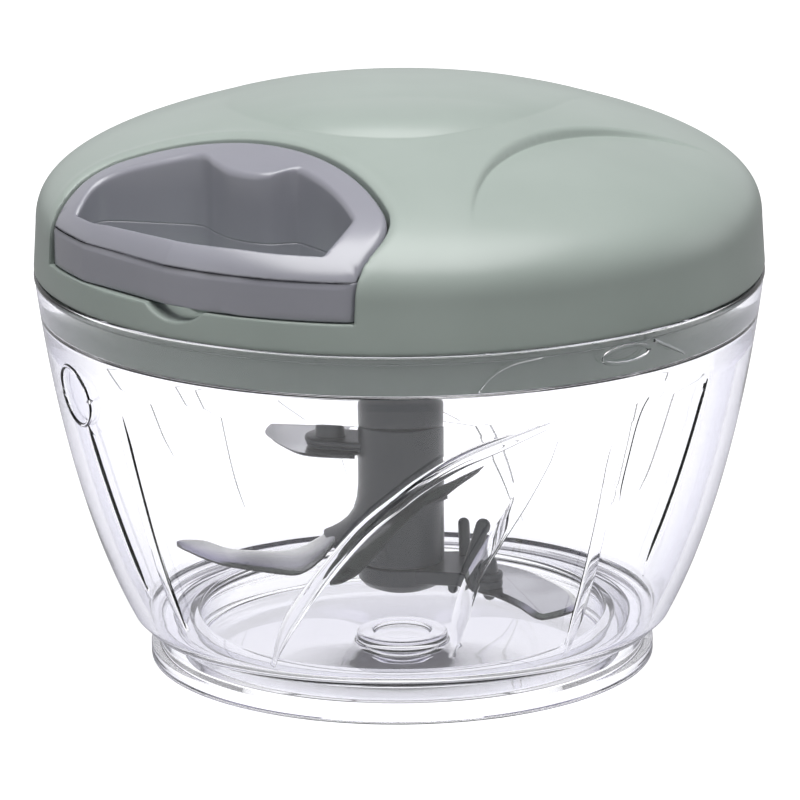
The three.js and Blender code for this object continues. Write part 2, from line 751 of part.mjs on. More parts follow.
function windingPath() {
  const steps = cordTurns * stepsPerTurn;
  const start = windingEnd - 2 * Math.PI * cordTurns;
  return Array.from({ length: steps + 1 }, (_, i) => windingPoint(start + (2 * Math.PI * i) / stepsPerTurn));
}

// Least gap between turns that lie side by side, measured between points a whole turn or more apart
function leastSelfGap(points, radius) {
  let least = Infinity;
  const window = stepsPerTurn / 2;
  for (let i = 0; i < points.length; i += 1) {
    for (let j = i + window; j < points.length; j += 1) {
      least = Math.min(least, points[i].distanceTo(points[j]) - 2 * radius);
    }
  }
  return least;
}

// Unbroken tube through the points, with its section kept upright
function cordTube(points, radius, sides) {
  const corners = [];
  const faces = [];
  points.forEach((point, i) => {
    const next = points[Math.min(i + 1, points.length - 1)];
    const last = points[Math.max(i - 1, 0)];
    const along = next.clone().sub(last).normalize();
    const across = new THREE.Vector3(0, 0, 1).cross(along).normalize();
    const up = along.clone().cross(across);
    for (let k = 0; k < sides; k += 1) {
      const angle = (2 * Math.PI * k) / sides;
      const corner = point.clone().addScaledVector(across, radius * Math.cos(angle))
        .addScaledVector(up, radius * Math.sin(angle));
      corners.push(corner.x, corner.y, corner.z);
      if (i + 1 === points.length) continue;
      const here = i * sides + k;
      const beside = i * sides + ((k + 1) % sides);
      faces.push(here, beside, beside + sides, here, beside + sides, here + sides);
    }
  });
  const end = (points.length - 1) * sides;
  for (let k = 1; k + 1 < sides; k += 1) faces.push(0, k + 1, k, end, end + k, end + k + 1);
  const geometry = new THREE.BufferGeometry();
  geometry.setAttribute('position', new THREE.Float32BufferAttribute(corners, 3));
  geometry.setIndex(faces);
  return solid(geometry);
}

function cordWinding() {
  const path = windingPath();
  console.log('least gap between turns of the cord, mm:', leastSelfGap(path, cordRadius).toFixed(2));
  return cordTube(path, cordRadius, cordSides);
}

// Cord from above the winding's last turn to the eyelet: straight, then one bend into the eyelet's bore
function cordRun() {
  const first = new THREE.Vector3(
    windingRadius * Math.cos(windingEnd), windingRadius * Math.sin(windingEnd), cordHeight);
  const corner = new THREE.Vector3(eyeletInside - cordBend, 0, cordHeight);
  const before = corner.clone().add(first.clone().sub(corner).normalize().multiplyScalar(2 * cordBend));
  const after = new THREE.Vector3(eyeletInside, 0, cordHeight);
  const bend = new THREE.QuadraticBezierCurve3(before, corner, after);
  const straight = new THREE.LineCurve3(first, before).getPoints(3).slice(0, -1);
  const mouth = new THREE.Vector3(recessBack - gap, 0, cordHeight);
  return cordTube([...straight, ...bend.getPoints(runSteps / 2), mouth], cordRadius, runSides);
}

function cordLead() {
  const start = new THREE.Vector3(recessBack, 0, cordHeight);
  const end = new THREE.Vector3(stopPlace - gap, 0, cordHeight);
  return cordTube(new THREE.LineCurve3(start, end).getPoints(3), cordRadius, runSides);
}

// Piece turned about the cord's line, from distance and radius pairs along it
function alongCord(profile, facets) {
  return revolve(profile.map(([u, r]) => [r, u]), facets).rotate([0, 90, 0]).translate([0, 0, cordHeight]);
}

function cordEyelet() {
  const bore = cordRadius + gap;
  const inside = recessBack - recessWall - gap;
  return alongCord([
    [eyeletInside, bore], [eyeletInside, eyeletFlange], [inside, eyeletFlange], [inside, eyeletRadius],
    [recessBack - gap, eyeletRadius], [recessBack - gap, bore],
  ], smallFacets);
}

function cordStop() {
  return alongCord([
    [stopPlace, 0], [stopPlace, headShare * stopRadius], [stopPlace + chamferShare * stopLength, stopRadius],
    [stopPlace + (1 - chamferShare) * stopLength, stopRadius], [stopPlace + stopLength, headShare * stopRadius],
    [stopPlace + stopLength, 0],
  ], smallFacets);
}

// Handle: a ring of the handle's outline, flush with the lid, round the finger opening
function handleRing() {
  const outline = handleOutline(0, handleCorner, beyondLid);
  const inner = handleOutline(-handleBar, handleInnerCorner, beyondLid);
  const block = prism(outline, handleBottom, lidTop + overrun)
    .intersect(turned(lidBlock(handleSink, handleBottom), -handleAzimuth));
  const opening = prism(inner, handleBottom - overrun, lidTop + 2 * overrun)
    .intersect(disc(handleFront, handleBottom - overrun, lidTop + 2 * overrun, wideFacets));
  const knob = disc(knobRadius, handleBottom - 2 * overrun, lidTop + 3 * overrun, midFacets)
    .translate([knobCentre, 0, 0]);
  return block.subtract(opening.subtract(knob));
}

// Screws on the middle line of the back bar
function handleScrewPlaces() {
  const middle = handleArc - handleBar / 2;
  const place = handleBack + handleArc - Math.sqrt(middle ** 2 - handleScrewSide ** 2);
  return [[place, -handleScrewSide], [place, handleScrewSide]];
}

// Upright slot in the knob that the cord stop is dropped into from below
function stopSlot(clearance, bottom, top) {
  return box(
    [stopPlace - clearance, -stopRadius - clearance, bottom],
    [stopPlace + stopLength + clearance, stopRadius + clearance, top]);
}

function handleUpper() {
  const bore = rod(
    [handleBack - overrun, 0, cordHeight], [stopPlace + gap, 0, cordHeight], cordRadius + gap, smallFacets);
  const cuts = [bore, stopSlot(gap, handleSplit - overrun, cordHeight + stopRadius + gap)];
  handleScrewPlaces().forEach(([u, v]) => cuts.push(
    disc(handleScrewRadius + gap, handleSplit - overrun, handleSplit + handleScrewReach, smallFacets)
      .translate([u, v, 0])));
  const above = box([0, -beyondLid, handleSplit], [beyondLid, beyondLid, lidTop + overrun]);
  return cuts.reduce((body, cut) => body.subtract(cut), handleRing().intersect(above));
}

function handleLower() {
  const below = box([0, -beyondLid, handleBottom - overrun], [beyondLid, beyondLid, handleSplit - gap]);
  const post = stopSlot(0, handleSplit - 2 * gap, cordHeight - stopRadius - gap);
  const under = handleBottom - overrun;
  const cuts = handleScrewPlaces().flatMap(([u, v]) => [
    disc(handleScrewRadius + gap, under, handleSplit + overrun, smallFacets).translate([u, v, 0]),
    disc(handleScrewHeadRadius + gap, under, handleScrewSeat, smallFacets).translate([u, v, 0]),
  ]);
  return cuts.reduce((body, cut) => body.subtract(cut), handleRing().intersect(below).add(post));
}

function handleScrew([u, v]) {
  const length = handleSplit - handleScrewSeat + handleScrewReach - 2 * gap;
  return screwUp(handleScrewSeat, handleScrewRadius, handleScrewHeadRadius, handleScrewHeadHeight, length)
    .translate([u, v, 0]);
}

// Edge of the left blade, moved outwards from the blade by a distance
function leftBladeEdge(shares, grow) {
  const out = shares === leftBladeBackShares ? grow : -grow;
  return shares.map(([x, y], i) => {
    const reach = -x * leftBladeReach;
    const lift = THREE.MathUtils.smoothstep(leftBladeFlat - reach, 0, leftBladeFlat - hubRadius);
    const inward = i === 0 ? grow : 0;
    const height = leftBladeTop + lift * leftBladeRise + grow;
    return new THREE.Vector3(inward - reach, y * leftBladeReach + out, height);
  });
}

function bladeLeft() {
  return sheet(leftBladeEdge(leftBladeBackShares, 0), leftBladeEdge(leftBladeFrontShares, 0), bladeThickness);
}

function frontBladeEdge(shares) {
  return shares.map((place) => new THREE.Vector3(...place).multiplyScalar(frontBladeReach));
}

function bladeFront() {
  return sheet(frontBladeEdge(frontBladeUpperShares), frontBladeEdge(frontBladeLowerShares), bladeThickness);
}

// Flat blade from an outline in shares of its reach, with a hole for the pin that holds it
function flatBlade(shares, reach, top, grow, pinPlace, pinRadius) {
  const outline = shares.map(([x, y]) => new THREE.Vector2(x * reach, y * reach));
  const plate = prism(new THREE.Shape(outline), top - bladeThickness - grow, top + grow);
  if (grow > 0) return plate;
  return plate.subtract(disc(pinRadius + gap, top - overrun, top + overrun, smallFacets)
    .translate([...pinPlace, 0]));
}

function upperArmEnd() {
  return [upperArmReach * Math.cos(upperArmAzimuth * deg), upperArmReach * Math.sin(upperArmAzimuth * deg)];
}

function bladeUpper() {
  return flatBlade(upperBladeShares, upperBladeReach, upperBladeTop, 0, upperArmEnd(), studRadius);
}

function bladeLower() {
  return flatBlade(lowerBladeShares, lowerBladeReach, lowerBladeTop, 0, collarPlace, rivetRadius);
}

// Root of the left blade: a swept bracket from the hub's side that thins towards the steel
function leftRoot() {
  const outline = leftRootShares.map(([x, rise]) => new THREE.Vector2(
    x * leftRootReach, hubBottom + rise * leftRootHeight));
  const bracket = new THREE.ExtrudeGeometry(new THREE.Shape(outline), {
    depth: 2 * leftRootSide, bevelEnabled: false,
  });
  bracket.rotateX(Math.PI / 2);
  bracket.translate(0, leftRootSide + leftRootShift, 0);
  const back = leftBladeEdge(leftBladeBackShares, gap);
  const front = leftBladeEdge(leftBladeFrontShares, gap);
  const blade = sheet(back, front, bladeThickness + 2 * gap);
  return solid(bracket).subtract(blade);
}

// Root of the front blade: a lug under the steel where it passes the hub
function frontRoot() {
  const drop = new THREE.Vector3(0, 0, -bladeThickness - 2 * gap);
  const upper = frontBladeEdge(frontBladeUpperShares.slice(...frontRootSteps));
  const lower = frontBladeEdge(frontBladeLowerShares.slice(...frontRootSteps));
  const inner = upper.map((p) => new THREE.Vector3(p.x * frontRootPull, p.y * frontRootPull, p.z).add(drop));
  const outer = upper.map((p, i) => p.clone().lerp(lower[i], frontRootPull).add(drop));
  return sheet(inner, outer, frontRootThickness);
}

// Hub with its socket, the upper arm with its post and stud, and the roots of two blades
function hubBody() {
  const barrel = disc(hubRadius, hubBottom, hubTop, midFacets);
  const end = upperArmEnd();
  const arm = disc(upperArmHalfWidth, upperArmUnder, upperArmTop, midFacets).translate([...end, 0])
    .add(turned(box([0, -upperArmHalfWidth, upperArmUnder], [upperArmReach, upperArmHalfWidth, upperArmTop]),
      upperArmAzimuth));
  const post = disc(postRadius, upperArmUnder, upperArmTop + postHeight, smallFacets).translate([...end, 0]);
  const stud = disc(studRadius, upperArmUnder - studLength, upperArmTop, smallFacets).translate([...end, 0]);
  const socket = disc(spigotRadius + gap, hubTop - spigotLength - gap, hubTop + overrun, 6);
  const tenonHole = disc(tenonRadius + gap, hubBottom - overrun, hubBottom + tenonHeight, midFacets);
  return joined([barrel, arm, post, stud, leftRoot(), frontRoot()]).subtract(socket).subtract(tenonHole);
}

// Leaning post with its foot sunk in the arm
function leaningPost({ base, lean, height, radius }) {
  const foot = [...base, baseRingTop - radius / 2];
  const head = [base[0] + lean[0], base[1] + lean[1], baseRingTop + height];
  return rod(foot, head, radius, smallFacets);
}

// Base ring under the hub: nub, tenon into the hub, and the lower arm with collar, rivet, posts and pin
function hubBaseRing() {
  const body = revolve([
    [0, baseRingBottom - nubHeight], [nubRadius, baseRingBottom - nubHeight], [nubRadius, baseRingBottom],
    [baseRingRadius - baseRingRound, baseRingBottom], [baseRingRadius, baseRingBottom + baseRingRound],
    [baseRingRadius, baseRingTop], [tenonRadius, baseRingTop],
    [tenonRadius, baseRingTop + tenonHeight], [0, baseRingTop + tenonHeight],
  ], midFacets);
  const under = baseRingTop - lowerArmThickness;
  const outline = lowerArmShares.map(([x, y]) => new THREE.Vector2(x * lowerArmReach, y * lowerArmReach));
  const arm = prism(new THREE.Shape(outline), under, baseRingTop)
    .subtract(flatBlade(lowerBladeShares, lowerBladeReach, lowerBladeTop, gap));
  const collarTop = baseRingTop + collarHeight;
  const collar = revolve([
    [0, lowerBladeTop + gap], [collarPostRadius, lowerBladeTop + gap], [collarPostRadius, collarTop],
    [coneRadius, collarTop], [coneRadius / 2, collarTop + coneHeight], [0, collarTop + coneHeight],
  ], smallFacets).translate([...collarPlace, 0]);
  const rivet = disc(rivetRadius, under - rivetLength, baseRingTop, smallFacets).translate([...collarPlace, 0]);
  const pin = disc(lowerPin.radius, under - lowerPin.length, baseRingTop, smallFacets)
    .translate([...lowerPin.place, 0]);
  return joined([body, arm, collar, rivet, pin, leaningPost(longPost), leaningPost(shortPost)]);
}

// Materials
function plastic(color, roughness) {
  return new THREE.MeshStandardMaterial({ color, roughness, metalness: 0 });
}

function metal(color, roughness) {
  return new THREE.MeshStandardMaterial({ color, roughness, metalness: 1 });
}

const clearPlastic = () => new THREE.MeshStandardMaterial({
  color: 0xf2f2fa, roughness: 0.05, metalness: 0, transparent: true, opacity: 0.35,
});
const sagePlastic = () => plastic(0xa3b5aa, 0.45);
const lilacPlastic = () => plastic(0xb4b1be, 0.4);
const greyPlastic = () => plastic(0x54575c, 0.4);
const whitePlastic = () => plastic(0xe6e4de, 0.5);
const bladeSteel = () => metal(0xc4c6c8, 0.25);
const springSteel = () => metal(0x8d9094, 0.35);
const zincSteel = () => metal(0xb8babd, 0.35);
const brass = () => metal(0xc9a85c, 0.3);
const cordNylon = () => plastic(0xeeece4, 0.8);

// Assembly: pieces of the handle and of the cord are built in the handle's frame
const chopper = new THREE.Group();
const alongHandle = new THREE.Group();
alongHandle.rotation.z = handleAzimuth * deg;
chopper.add(alongHandle);

function place(parent, name, body, material) {
  const mesh = new THREE.Mesh(geometryOf(body), material);
  mesh.name = name;
  parent.add(mesh);
}

place(chopper, 'bowl', bowl(), clearPlastic());
place(chopper, 'lid_shell', lidShell(), sagePlastic());
place(chopper, 'lid_inner_cover', lidInnerCover(), sagePlastic());
screwPlaces().forEach((spot, i) => place(chopper, `lid_screw_${i + 1}`, lidScrew(spot), zincSteel()));
place(chopper, 'shaft_bush', shaftBush(), whitePlastic());
place(chopper, 'spring_arbor', springArbor(), whitePlastic());
place(chopper, 'recoil_spring', recoilSpring(), springSteel());
place(chopper, 'drive_shaft', driveShaft(), greyPlastic());
place(chopper, 'cord_drum', cordDrum(), whitePlastic());
place(chopper, 'drum_cap', drumCap(), whitePlastic());
place(chopper, 'drum_washer', drumWasher(), zincSteel());
place(chopper, 'shaft_screw', shaftScrew(), zincSteel());
place(alongHandle, 'pull_cord_winding', cordWinding(), cordNylon());
place(alongHandle, 'pull_cord_run', cordRun(), cordNylon());
place(alongHandle, 'pull_cord_lead', cordLead(), cordNylon());
place(alongHandle, 'cord_eyelet', cordEyelet(), brass());
place(alongHandle, 'cord_stop', cordStop(), brass());
place(alongHandle, 'handle_upper', handleUpper(), lilacPlastic());
place(alongHandle, 'handle_lower', handleLower(), lilacPlastic());
handleScrewPlaces().forEach((spot, i) => place(
  alongHandle, `handle_screw_${i + 1}`, handleScrew(spot), zincSteel()));
place(chopper, 'hub_body', hubBody(), greyPlastic());
place(chopper, 'hub_base_ring', hubBaseRing(), greyPlastic());
place(chopper, 'blade_upper', bladeUpper(), bladeSteel());
place(chopper, 'blade_left', bladeLeft(), bladeSteel());
place(chopper, 'blade_front', bladeFront(), bladeSteel());
place(chopper, 'blade_lower', bladeLower(), bladeSteel());

export default chopper;
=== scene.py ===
"""Pull cord food chopper: clear ribbed bowl, sage lid, lilac handle, grey hub, four blades."""

import math

import bmesh
import bpy
import numpy as np
from mathutils import Matrix, Vector


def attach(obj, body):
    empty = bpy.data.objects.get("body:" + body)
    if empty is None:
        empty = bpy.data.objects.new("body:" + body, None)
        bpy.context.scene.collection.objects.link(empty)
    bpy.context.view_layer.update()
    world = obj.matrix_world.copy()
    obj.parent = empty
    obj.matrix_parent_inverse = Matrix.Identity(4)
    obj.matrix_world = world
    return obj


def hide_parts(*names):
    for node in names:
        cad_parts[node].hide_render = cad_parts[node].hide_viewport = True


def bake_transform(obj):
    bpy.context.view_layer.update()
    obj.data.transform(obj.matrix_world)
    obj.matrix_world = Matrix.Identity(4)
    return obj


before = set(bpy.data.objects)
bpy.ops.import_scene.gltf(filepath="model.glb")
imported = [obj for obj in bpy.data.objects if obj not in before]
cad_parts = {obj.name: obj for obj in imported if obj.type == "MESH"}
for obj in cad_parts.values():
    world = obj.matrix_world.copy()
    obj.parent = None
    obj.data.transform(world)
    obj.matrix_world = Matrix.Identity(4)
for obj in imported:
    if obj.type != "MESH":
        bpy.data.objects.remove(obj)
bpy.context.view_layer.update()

MM = 0.001
TURN = 2 * math.pi

# Bowl
RIM_RADIUS = 64.99
RIM_HEIGHT = 71.6
BOWL_WALL = 2.2
RIM_WALL = 2.4
BELLY_RADIUS = 48.4
BELLY_HEIGHT = 9
BELLY_SHARES = ((0.479, 0.24), (0.819, 0.6))
WELL_RADIUS = 36.4
SHELF_HEIGHT = 8.3
BOWL_STEPS = 240

# Lid
LID_TOP = 103.47
CROWN_RADIUS = 141.11
CROWN_REACH = 43.74
CROWN_PULL = 0.7
SHOULDER_PULL = 0.24
SIDE_RADIUS = 64.46
SIDE_TOP = 80.53
LID_RADIUS = 64.99
LID_EDGE = 71.95
LID_WALL = 2.2
LID_STEPS = 360
SCREW_BEARINGS = (106, 169, 293, 356)
SCREW_CIRCLE = 48

# Handle in its own frame: u points out of the lid, v to the right of that
HANDLE_TURN = math.radians(231)
HANDLE_BACK = 32.1
HANDLE_ARC = 56
HANDLE_CORNER = 9
HANDLE_HALF = 33.9
HANDLE_BOTTOM = 77.5
HANDLE_SINK = 0.3
HANDLE_SPLIT = 84.3
HANDLE_CENTRE = 54
HANDLE_SCREW = (38.3, 18)
RECESS_GAP = 0.5
RECESS_FLOOR = 77.2
TRAY_WALL = 2
NOTCH_SIDE = 2.4
NOTCH_HEIGHT = 84.5
NOTCH_RADIUS = 9.7
CORD_HEIGHT = 90.4
CORD_RADIUS = 1
CORD_TURNS = 3
WINDING_RADIUS = 18.3
WINDING_PITCH = 2.5
EYELET_REACH = 25.3
WINDING_END = -math.acos(WINDING_RADIUS / EYELET_REACH)


# Working on meshes
def deselect():
    bpy.ops.object.select_all(action="DESELECT")


def pick(piece):
    """Makes a piece active and the only one selected."""
    deselect()
    piece.select_set(True)
    bpy.context.view_layer.objects.active = piece


def new_piece(name):
    """The last operator's object, named."""
    piece = bpy.context.object
    piece.name = name
    piece.data.name = name
    return piece


def closed_line(name, points, fill="NOTHING"):
    """New mesh of one closed line through points in millimetres, selected in edit mode."""
    deselect()
    bpy.ops.mesh.primitive_circle_add(vertices=len(points), fill_type=fill)
    piece = new_piece(name)
    piece.data.vertices.foreach_set("co", (np.array(points, float) * MM).ravel())
    bpy.ops.object.mode_set(mode="EDIT")
    bpy.ops.mesh.select_all(action="SELECT")
    return piece


def tidy_faces():
    bpy.ops.mesh.select_all(action="SELECT")
    bpy.ops.mesh.remove_doubles(threshold=1e-6)
    bpy.ops.mesh.delete_loose()
    bpy.ops.mesh.select_all(action="SELECT")
    bpy.ops.mesh.normals_make_consistent(inside=False)
    bpy.ops.object.mode_set(mode="OBJECT")


def spun(name, profile, steps):
    """Closed body of revolution. Its profile of radius and height ends on the axis or on itself."""
    piece = closed_line(name, [(r, 0, z) for r, z in profile])
    bpy.ops.mesh.spin(steps=steps, angle=TURN, center=(0, 0, 0), axis=(0, 0, 1))
    tidy_faces()
    return piece


def slab(name, outline, bottom, top):
    """Upright prism of a closed outline between two heights."""
    piece = closed_line(name, [(x, y, bottom) for x, y in outline], "NGON")
    bpy.ops.mesh.extrude_region_move(TRANSFORM_OT_translate={"value": (0, 0, (top - bottom) * MM)})
    tidy_faces()
    return piece


def lofted(name, rings):
    """Skin over rings of equally many points, in millimetres, closed at both ends."""
    deselect()
    bpy.ops.mesh.primitive_cylinder_add(vertices=len(rings[0]), end_fill_type="NOTHING")
    piece = new_piece(name)
    mesh = bmesh.new()
    rows = [[mesh.verts.new(Vector(p) * MM) for p in ring] for ring in rings]
    for row, following in zip(rows, rows[1:]):
        for k in range(len(row)):
            j = (k + 1) % len(row)
            mesh.faces.new((row[k], row[j], following[j], following[k]))
    mesh.faces.new(reversed(rows[0]))
    mesh.faces.new(rows[-1])
    bmesh.ops.recalc_face_normals(mesh, faces=mesh.faces)
    mesh.to_mesh(piece.data)
    mesh.free()
    return piece


def post(name, foot, head, radius, sides=32):
    """Round post between two points, in millimetres."""
    foot = Vector(foot) * MM
    head = Vector(head) * MM
    along = head - foot
    deselect()
    bpy.ops.mesh.primitive_cone_add(
        vertices=sides, radius1=radius * MM, radius2=radius * MM, depth=along.length)
    piece = bpy.context.object
    piece.name = name
    piece.data.transform(
        Matrix.Translation((foot + head) / 2) @ along.to_track_quat("Z", "Y").to_matrix().to_4x4())
    return piece


def swept(name, points, radii, sides, up=None, boxy=1):
    """Closed tube through points in millimetres, each with its own half widths across and outwards."""

    def corner(value):
        return math.copysign(abs(value) ** boxy, value)

    spots = [Vector(p) for p in points]
    count = len(spots)
    rings = []
    for i, spot in enumerate(spots):
        along = (spots[min(i + 1, count - 1)] - spots[max(i - 1, 0)]).normalized()
        out = Vector((spot.x, spot.y, 0)).normalized() if up is None else Vector(up)
        out = (out - along * out.dot(along)).normalized()
        side = along.cross(out)
        wide, high = radii[i]
        rings.append([
            spot + side * (wide * corner(math.cos(TURN * k / sides)))
            + out * (high * corner(math.sin(TURN * k / sides)))
            for k in range(sides)])
    return lofted(name, rings)


def apply(piece, kind, **settings):
    pick(piece)
    modifier = piece.modifiers.new(kind.lower(), kind)
    for name, value in settings.items():
        setattr(modifier, name, value)
    bpy.ops.object.modifier_apply(modifier=modifier.name)


def cut(piece, tool, operation="DIFFERENCE"):
    """Cuts, joins or keeps what is common with another closed body, which is used up."""
    apply(piece, "BOOLEAN", object=tool, operation=operation, solver="MANIFOLD")
    bpy.data.objects.remove(tool)


def joined(pieces):
    """Union of small pieces, so that a dense body is cut only once."""
    whole = pieces[0]
    for piece in pieces[1:]:
        cut(whole, piece, "UNION")
    return whole


def turn(piece, angle):
    piece.data.transform(Matrix.Rotation(angle, 4, "Z"))


def shift(piece, x, y):
    piece.data.transform(Matrix.Translation((x * MM, y * MM, 0)))


def handle_post(name, foot, head, radius, sides=32):
    """Post drawn in the handle's own frame."""
    piece = post(name, foot, head, radius, sides)
    turn(piece, HANDLE_TURN)
    return piece


def shrunk(outline, inset):
    """Closed outline, drawn anticlockwise, moved inwards."""
    line = np.array(outline, float)
    along = np.roll(line, -1, axis=0) - np.roll(line, 1, axis=0)
    along /= np.linalg.norm(along, axis=1)[:, None]
    return line + inset * np.column_stack((-along[:, 1], along[:, 0]))


def stacked(name, outline, layers):
    """Upright body over an outline, drawn in by its own inset at each height."""
    return lofted(name, [[(x, y, z) for x, y in shrunk(outline, inset)] for z, inset in layers])


def smooth(piece, degrees=30):
    pick(piece)
    bpy.ops.object.shade_smooth_by_angle(angle=math.radians(degrees))


def bezier(points, count):
    a, b, c, d = [np.array(p, float) for p in points]
    line = []
    for i in range(count + 1):
        t = i / count
        s = 1 - t
        line.append(tuple(s ** 3 * a + 3 * s ** 2 * t * b + 3 * s * t * t * c + t ** 3 * d))
    return line


def curve_through(points, per_span):
    """Smooth curve through points of two or three numbers."""
    pts = [np.array(p, float) for p in points]
    pts = [2 * pts[0] - pts[1]] + pts + [2 * pts[-1] - pts[-2]]
    out = []
    for i in range(1, len(pts) - 2):
        for k in range(per_span):
            t = k / per_span
            a, b, c, d = pts[i - 1:i + 3]
            out.append(0.5 * (2 * b + (c - a) * t + (2 * a - 5 * b + 4 * c - d) * t * t
                              + (3 * b - a - 3 * c + d) * t ** 3))
    out.append(pts[-2])
    return out


# Materials
def srgb(*values):
    return [((v / 255 + 0.055) / 1.055) ** 2.4 if v > 10 else v / 255 / 12.92 for v in values] + [1]


def fresh(name):
    material = bpy.data.materials.new(name)
    material.use_nodes = True
    return material, material.node_tree, material.node_tree.nodes["Principled BSDF"]


def feed(tree, inputs, values):
    """Sets inputs to plain values, or links them to other nodes' outputs."""
    for key, value in values.items():
        if isinstance(value, bpy.types.NodeSocket):
            tree.links.new(value, inputs[key])
        else:
            inputs[key].default_value = value


def add_node(tree, kind, values, **settings):
    """New shader node with its settings and some of its inputs."""
    node = tree.nodes.new("ShaderNode" + kind)
    for name, setting in settings.items():
        setattr(node, name, setting)
    feed(tree, node.inputs, values)
    return node


def own_space(tree):
    return add_node(tree, "TexCoord", {}).outputs["Object"]


def grain(tree, scale, detail=3):
    """Noise in the object's own space."""
    noise = add_node(tree, "TexNoise", {"Vector": own_space(tree), "Scale": scale, "Detail": detail})
    return noise.outputs["Fac"]


def scratches(tree, stretch, detail):
    """Noise drawn out into long fine scratches in one direction."""
    drawn = add_node(tree, "Mapping", {"Vector": own_space(tree), "Scale": stretch})
    noise = add_node(tree, "TexNoise", {"Vector": drawn.outputs["Vector"], "Scale": 6, "Detail": detail})
    return noise.outputs["Fac"]


def colour_by(tree, shader, factor, low, high, start=0.35, end=0.65):
    """Base colour that goes from one tone to another with a factor."""
    ramp = add_node(tree, "ValToRGB", {"Fac": factor})
    for element, position, tone in zip(ramp.color_ramp.elements, (start, end), (low, high)):
        element.position = position
        element.color = tone
    feed(tree, shader.inputs, {"Base Color": ramp.outputs["Color"]})


def relief(tree, shader, height, strength, distance=0.0001):
    """Bump on the shader's normal from a height."""
    bump = add_node(tree, "Bump", {"Height": height, "Strength": strength, "Distance": distance})
    feed(tree, shader.inputs, {"Normal": bump.outputs["Normal"]})
    return bump


def moulded(name, low, high, rough, edge=0.5, strength=0.04, sheen=0.5):
    """Moulded plastic: faint clouding of the colour, a fine spark eroded grain, and softened edges."""
    material, tree, shader = fresh(name)
    colour_by(tree, shader, grain(tree, 38), low, high)
    feed(tree, shader.inputs, {"Roughness": rough, "Specular IOR Level": sheen})
    if not strength:
        return material
    bump = relief(tree, shader, grain(tree, 5200, 2), strength)
    if edge:
        bevel = add_node(tree, "Bevel", {"Radius": edge * MM}, samples=6)
        feed(tree, bump.inputs, {"Normal": bevel.outputs["Normal"]})
    return material


def steel(name, low, high, rough, stretch=(60, 900, 60), broad=False):
    """Ground steel with fine scratches. Its tones follow them, or are broad as on polished blades."""
    material, tree, shader = fresh(name)
    scratch = scratches(tree, stretch, 2 if broad else 4)
    if broad:
        colour_by(tree, shader, grain(tree, 46, 1), low, high, 0.4, 0.6)
    else:
        colour_by(tree, shader, scratch, low, high)
    relief(tree, shader, scratch, 0.03 if broad else 0.06)
    feed(tree, shader.inputs, {"Metallic": 1, "Roughness": rough})
    return material


def clear_plastic():
    """Clear moulded plastic: refracts, goes violet and darker edge on, partly its own tint and partly
    painted shade, and lets shadows through.
    """
    material, tree, shader = fresh("clear_bowl_plastic")
    # Violet and darker towards grazing angles: partly the plastic's tint along a longer path, partly
    # painted shade on edges and ribs.
    facing = add_node(tree, "LayerWeight", {"Blend": 0.35}).outputs["Facing"]
    colour_by(tree, shader, facing, (0.97, 0.97, 0.985, 1), (0.36, 0.35, 0.52, 1), 0.3, 0.9)
    feed(tree, shader.inputs, {"Roughness": 0.015, "IOR": 1.49, "Transmission Weight": 1})
    relief(tree, shader, grain(tree, 60, 1), 0.04, 0.001)
    see_through = add_node(tree, "BsdfTransparent", {"Color": (0.9, 0.9, 0.93, 1)})
    rays = add_node(tree, "LightPath", {}).outputs
    mix = add_node(tree, "MixShader", {"Fac": rays["Is Shadow Ray"], 1: shader.outputs["BSDF"],
                                       2: see_through.outputs["BSDF"]})
    feed(tree, tree.nodes["Material Output"].inputs, {"Surface": mix.outputs["Shader"]})
    return material


def twisted_cord():
    """Braided cord: slanting strands across its length."""
    material, tree, shader = fresh("cord_braid")
    wave = add_node(tree, "TexWave", {"Vector": own_space(tree), "Scale": 380, "Distortion": 1.5},
                    bands_direction="DIAGONAL")
    strands = wave.outputs["Fac"]
    colour_by(tree, shader, strands, srgb(196, 193, 184), srgb(238, 236, 228), 0.2, 0.8)
    relief(tree, shader, strands, 0.5, 0.0002)
    feed(tree, shader.inputs, {"Roughness": 0.8})
    return material


SAGE = moulded("sage_lid_plastic", srgb(155, 165, 159), srgb(160, 170, 164), 0.36, 0.7, sheen=0.55)
# Darker copy of the lid's sage plastic for the inner cover: painted shade, as its skirt sits in the lid's
# shadow behind the bowl.
SHADED_SAGE_COVER = moulded("sage_cover_painted_shade", srgb(98, 108, 101), srgb(103, 113, 106), 0.42, 0.3)
LILAC = moulded("lilac_handle_plastic", srgb(145, 145, 154), srgb(150, 150, 159), 0.27, 0.5, sheen=1)
GREY = moulded("grey_hub_plastic", srgb(42, 45, 50), srgb(48, 51, 56), 0.32, strength=0, sheen=0.3)
WHITE = moulded("white_gear_plastic", srgb(222, 220, 213), srgb(232, 230, 224), 0.5, 0)
CLEAR = clear_plastic()
BLADE = steel("ground_blade_steel", (0.17, 0.172, 0.18, 1), (0.62, 0.624, 0.632, 1), 0.16, broad=True)
# Near-black steel for the blades' upright faces: painted shade, not the steel's own tone.
EDGE_SHADE = steel("blade_edge_painted_shade", (0.012, 0.012, 0.014, 1), (0.03, 0.03, 0.032, 1), 0.4)
SPRING = steel("blued_spring_steel", (0.25, 0.26, 0.29, 1), (0.36, 0.37, 0.4, 1), 0.32, (40, 40, 900))
ZINC = steel("zinc_screw_steel", (0.48, 0.49, 0.5, 1), (0.62, 0.63, 0.64, 1), 0.35, (200, 200, 200))
BRASS = steel("turned_brass", (0.55, 0.4, 0.16, 1), (0.68, 0.5, 0.22, 1), 0.3, (300, 60, 300))
CORD = twisted_cord()


def finish_piece(piece, material, slot, body, *nodes, angle=30):
    """Smooths a piece, gives it its material and body, and lets it stand for its CAD nodes."""
    smooth(piece, angle)
    piece.data.materials.clear()
    piece.data.materials.append(material)
    if body:
        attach(piece, body)
    if nodes:
        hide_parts(*nodes)


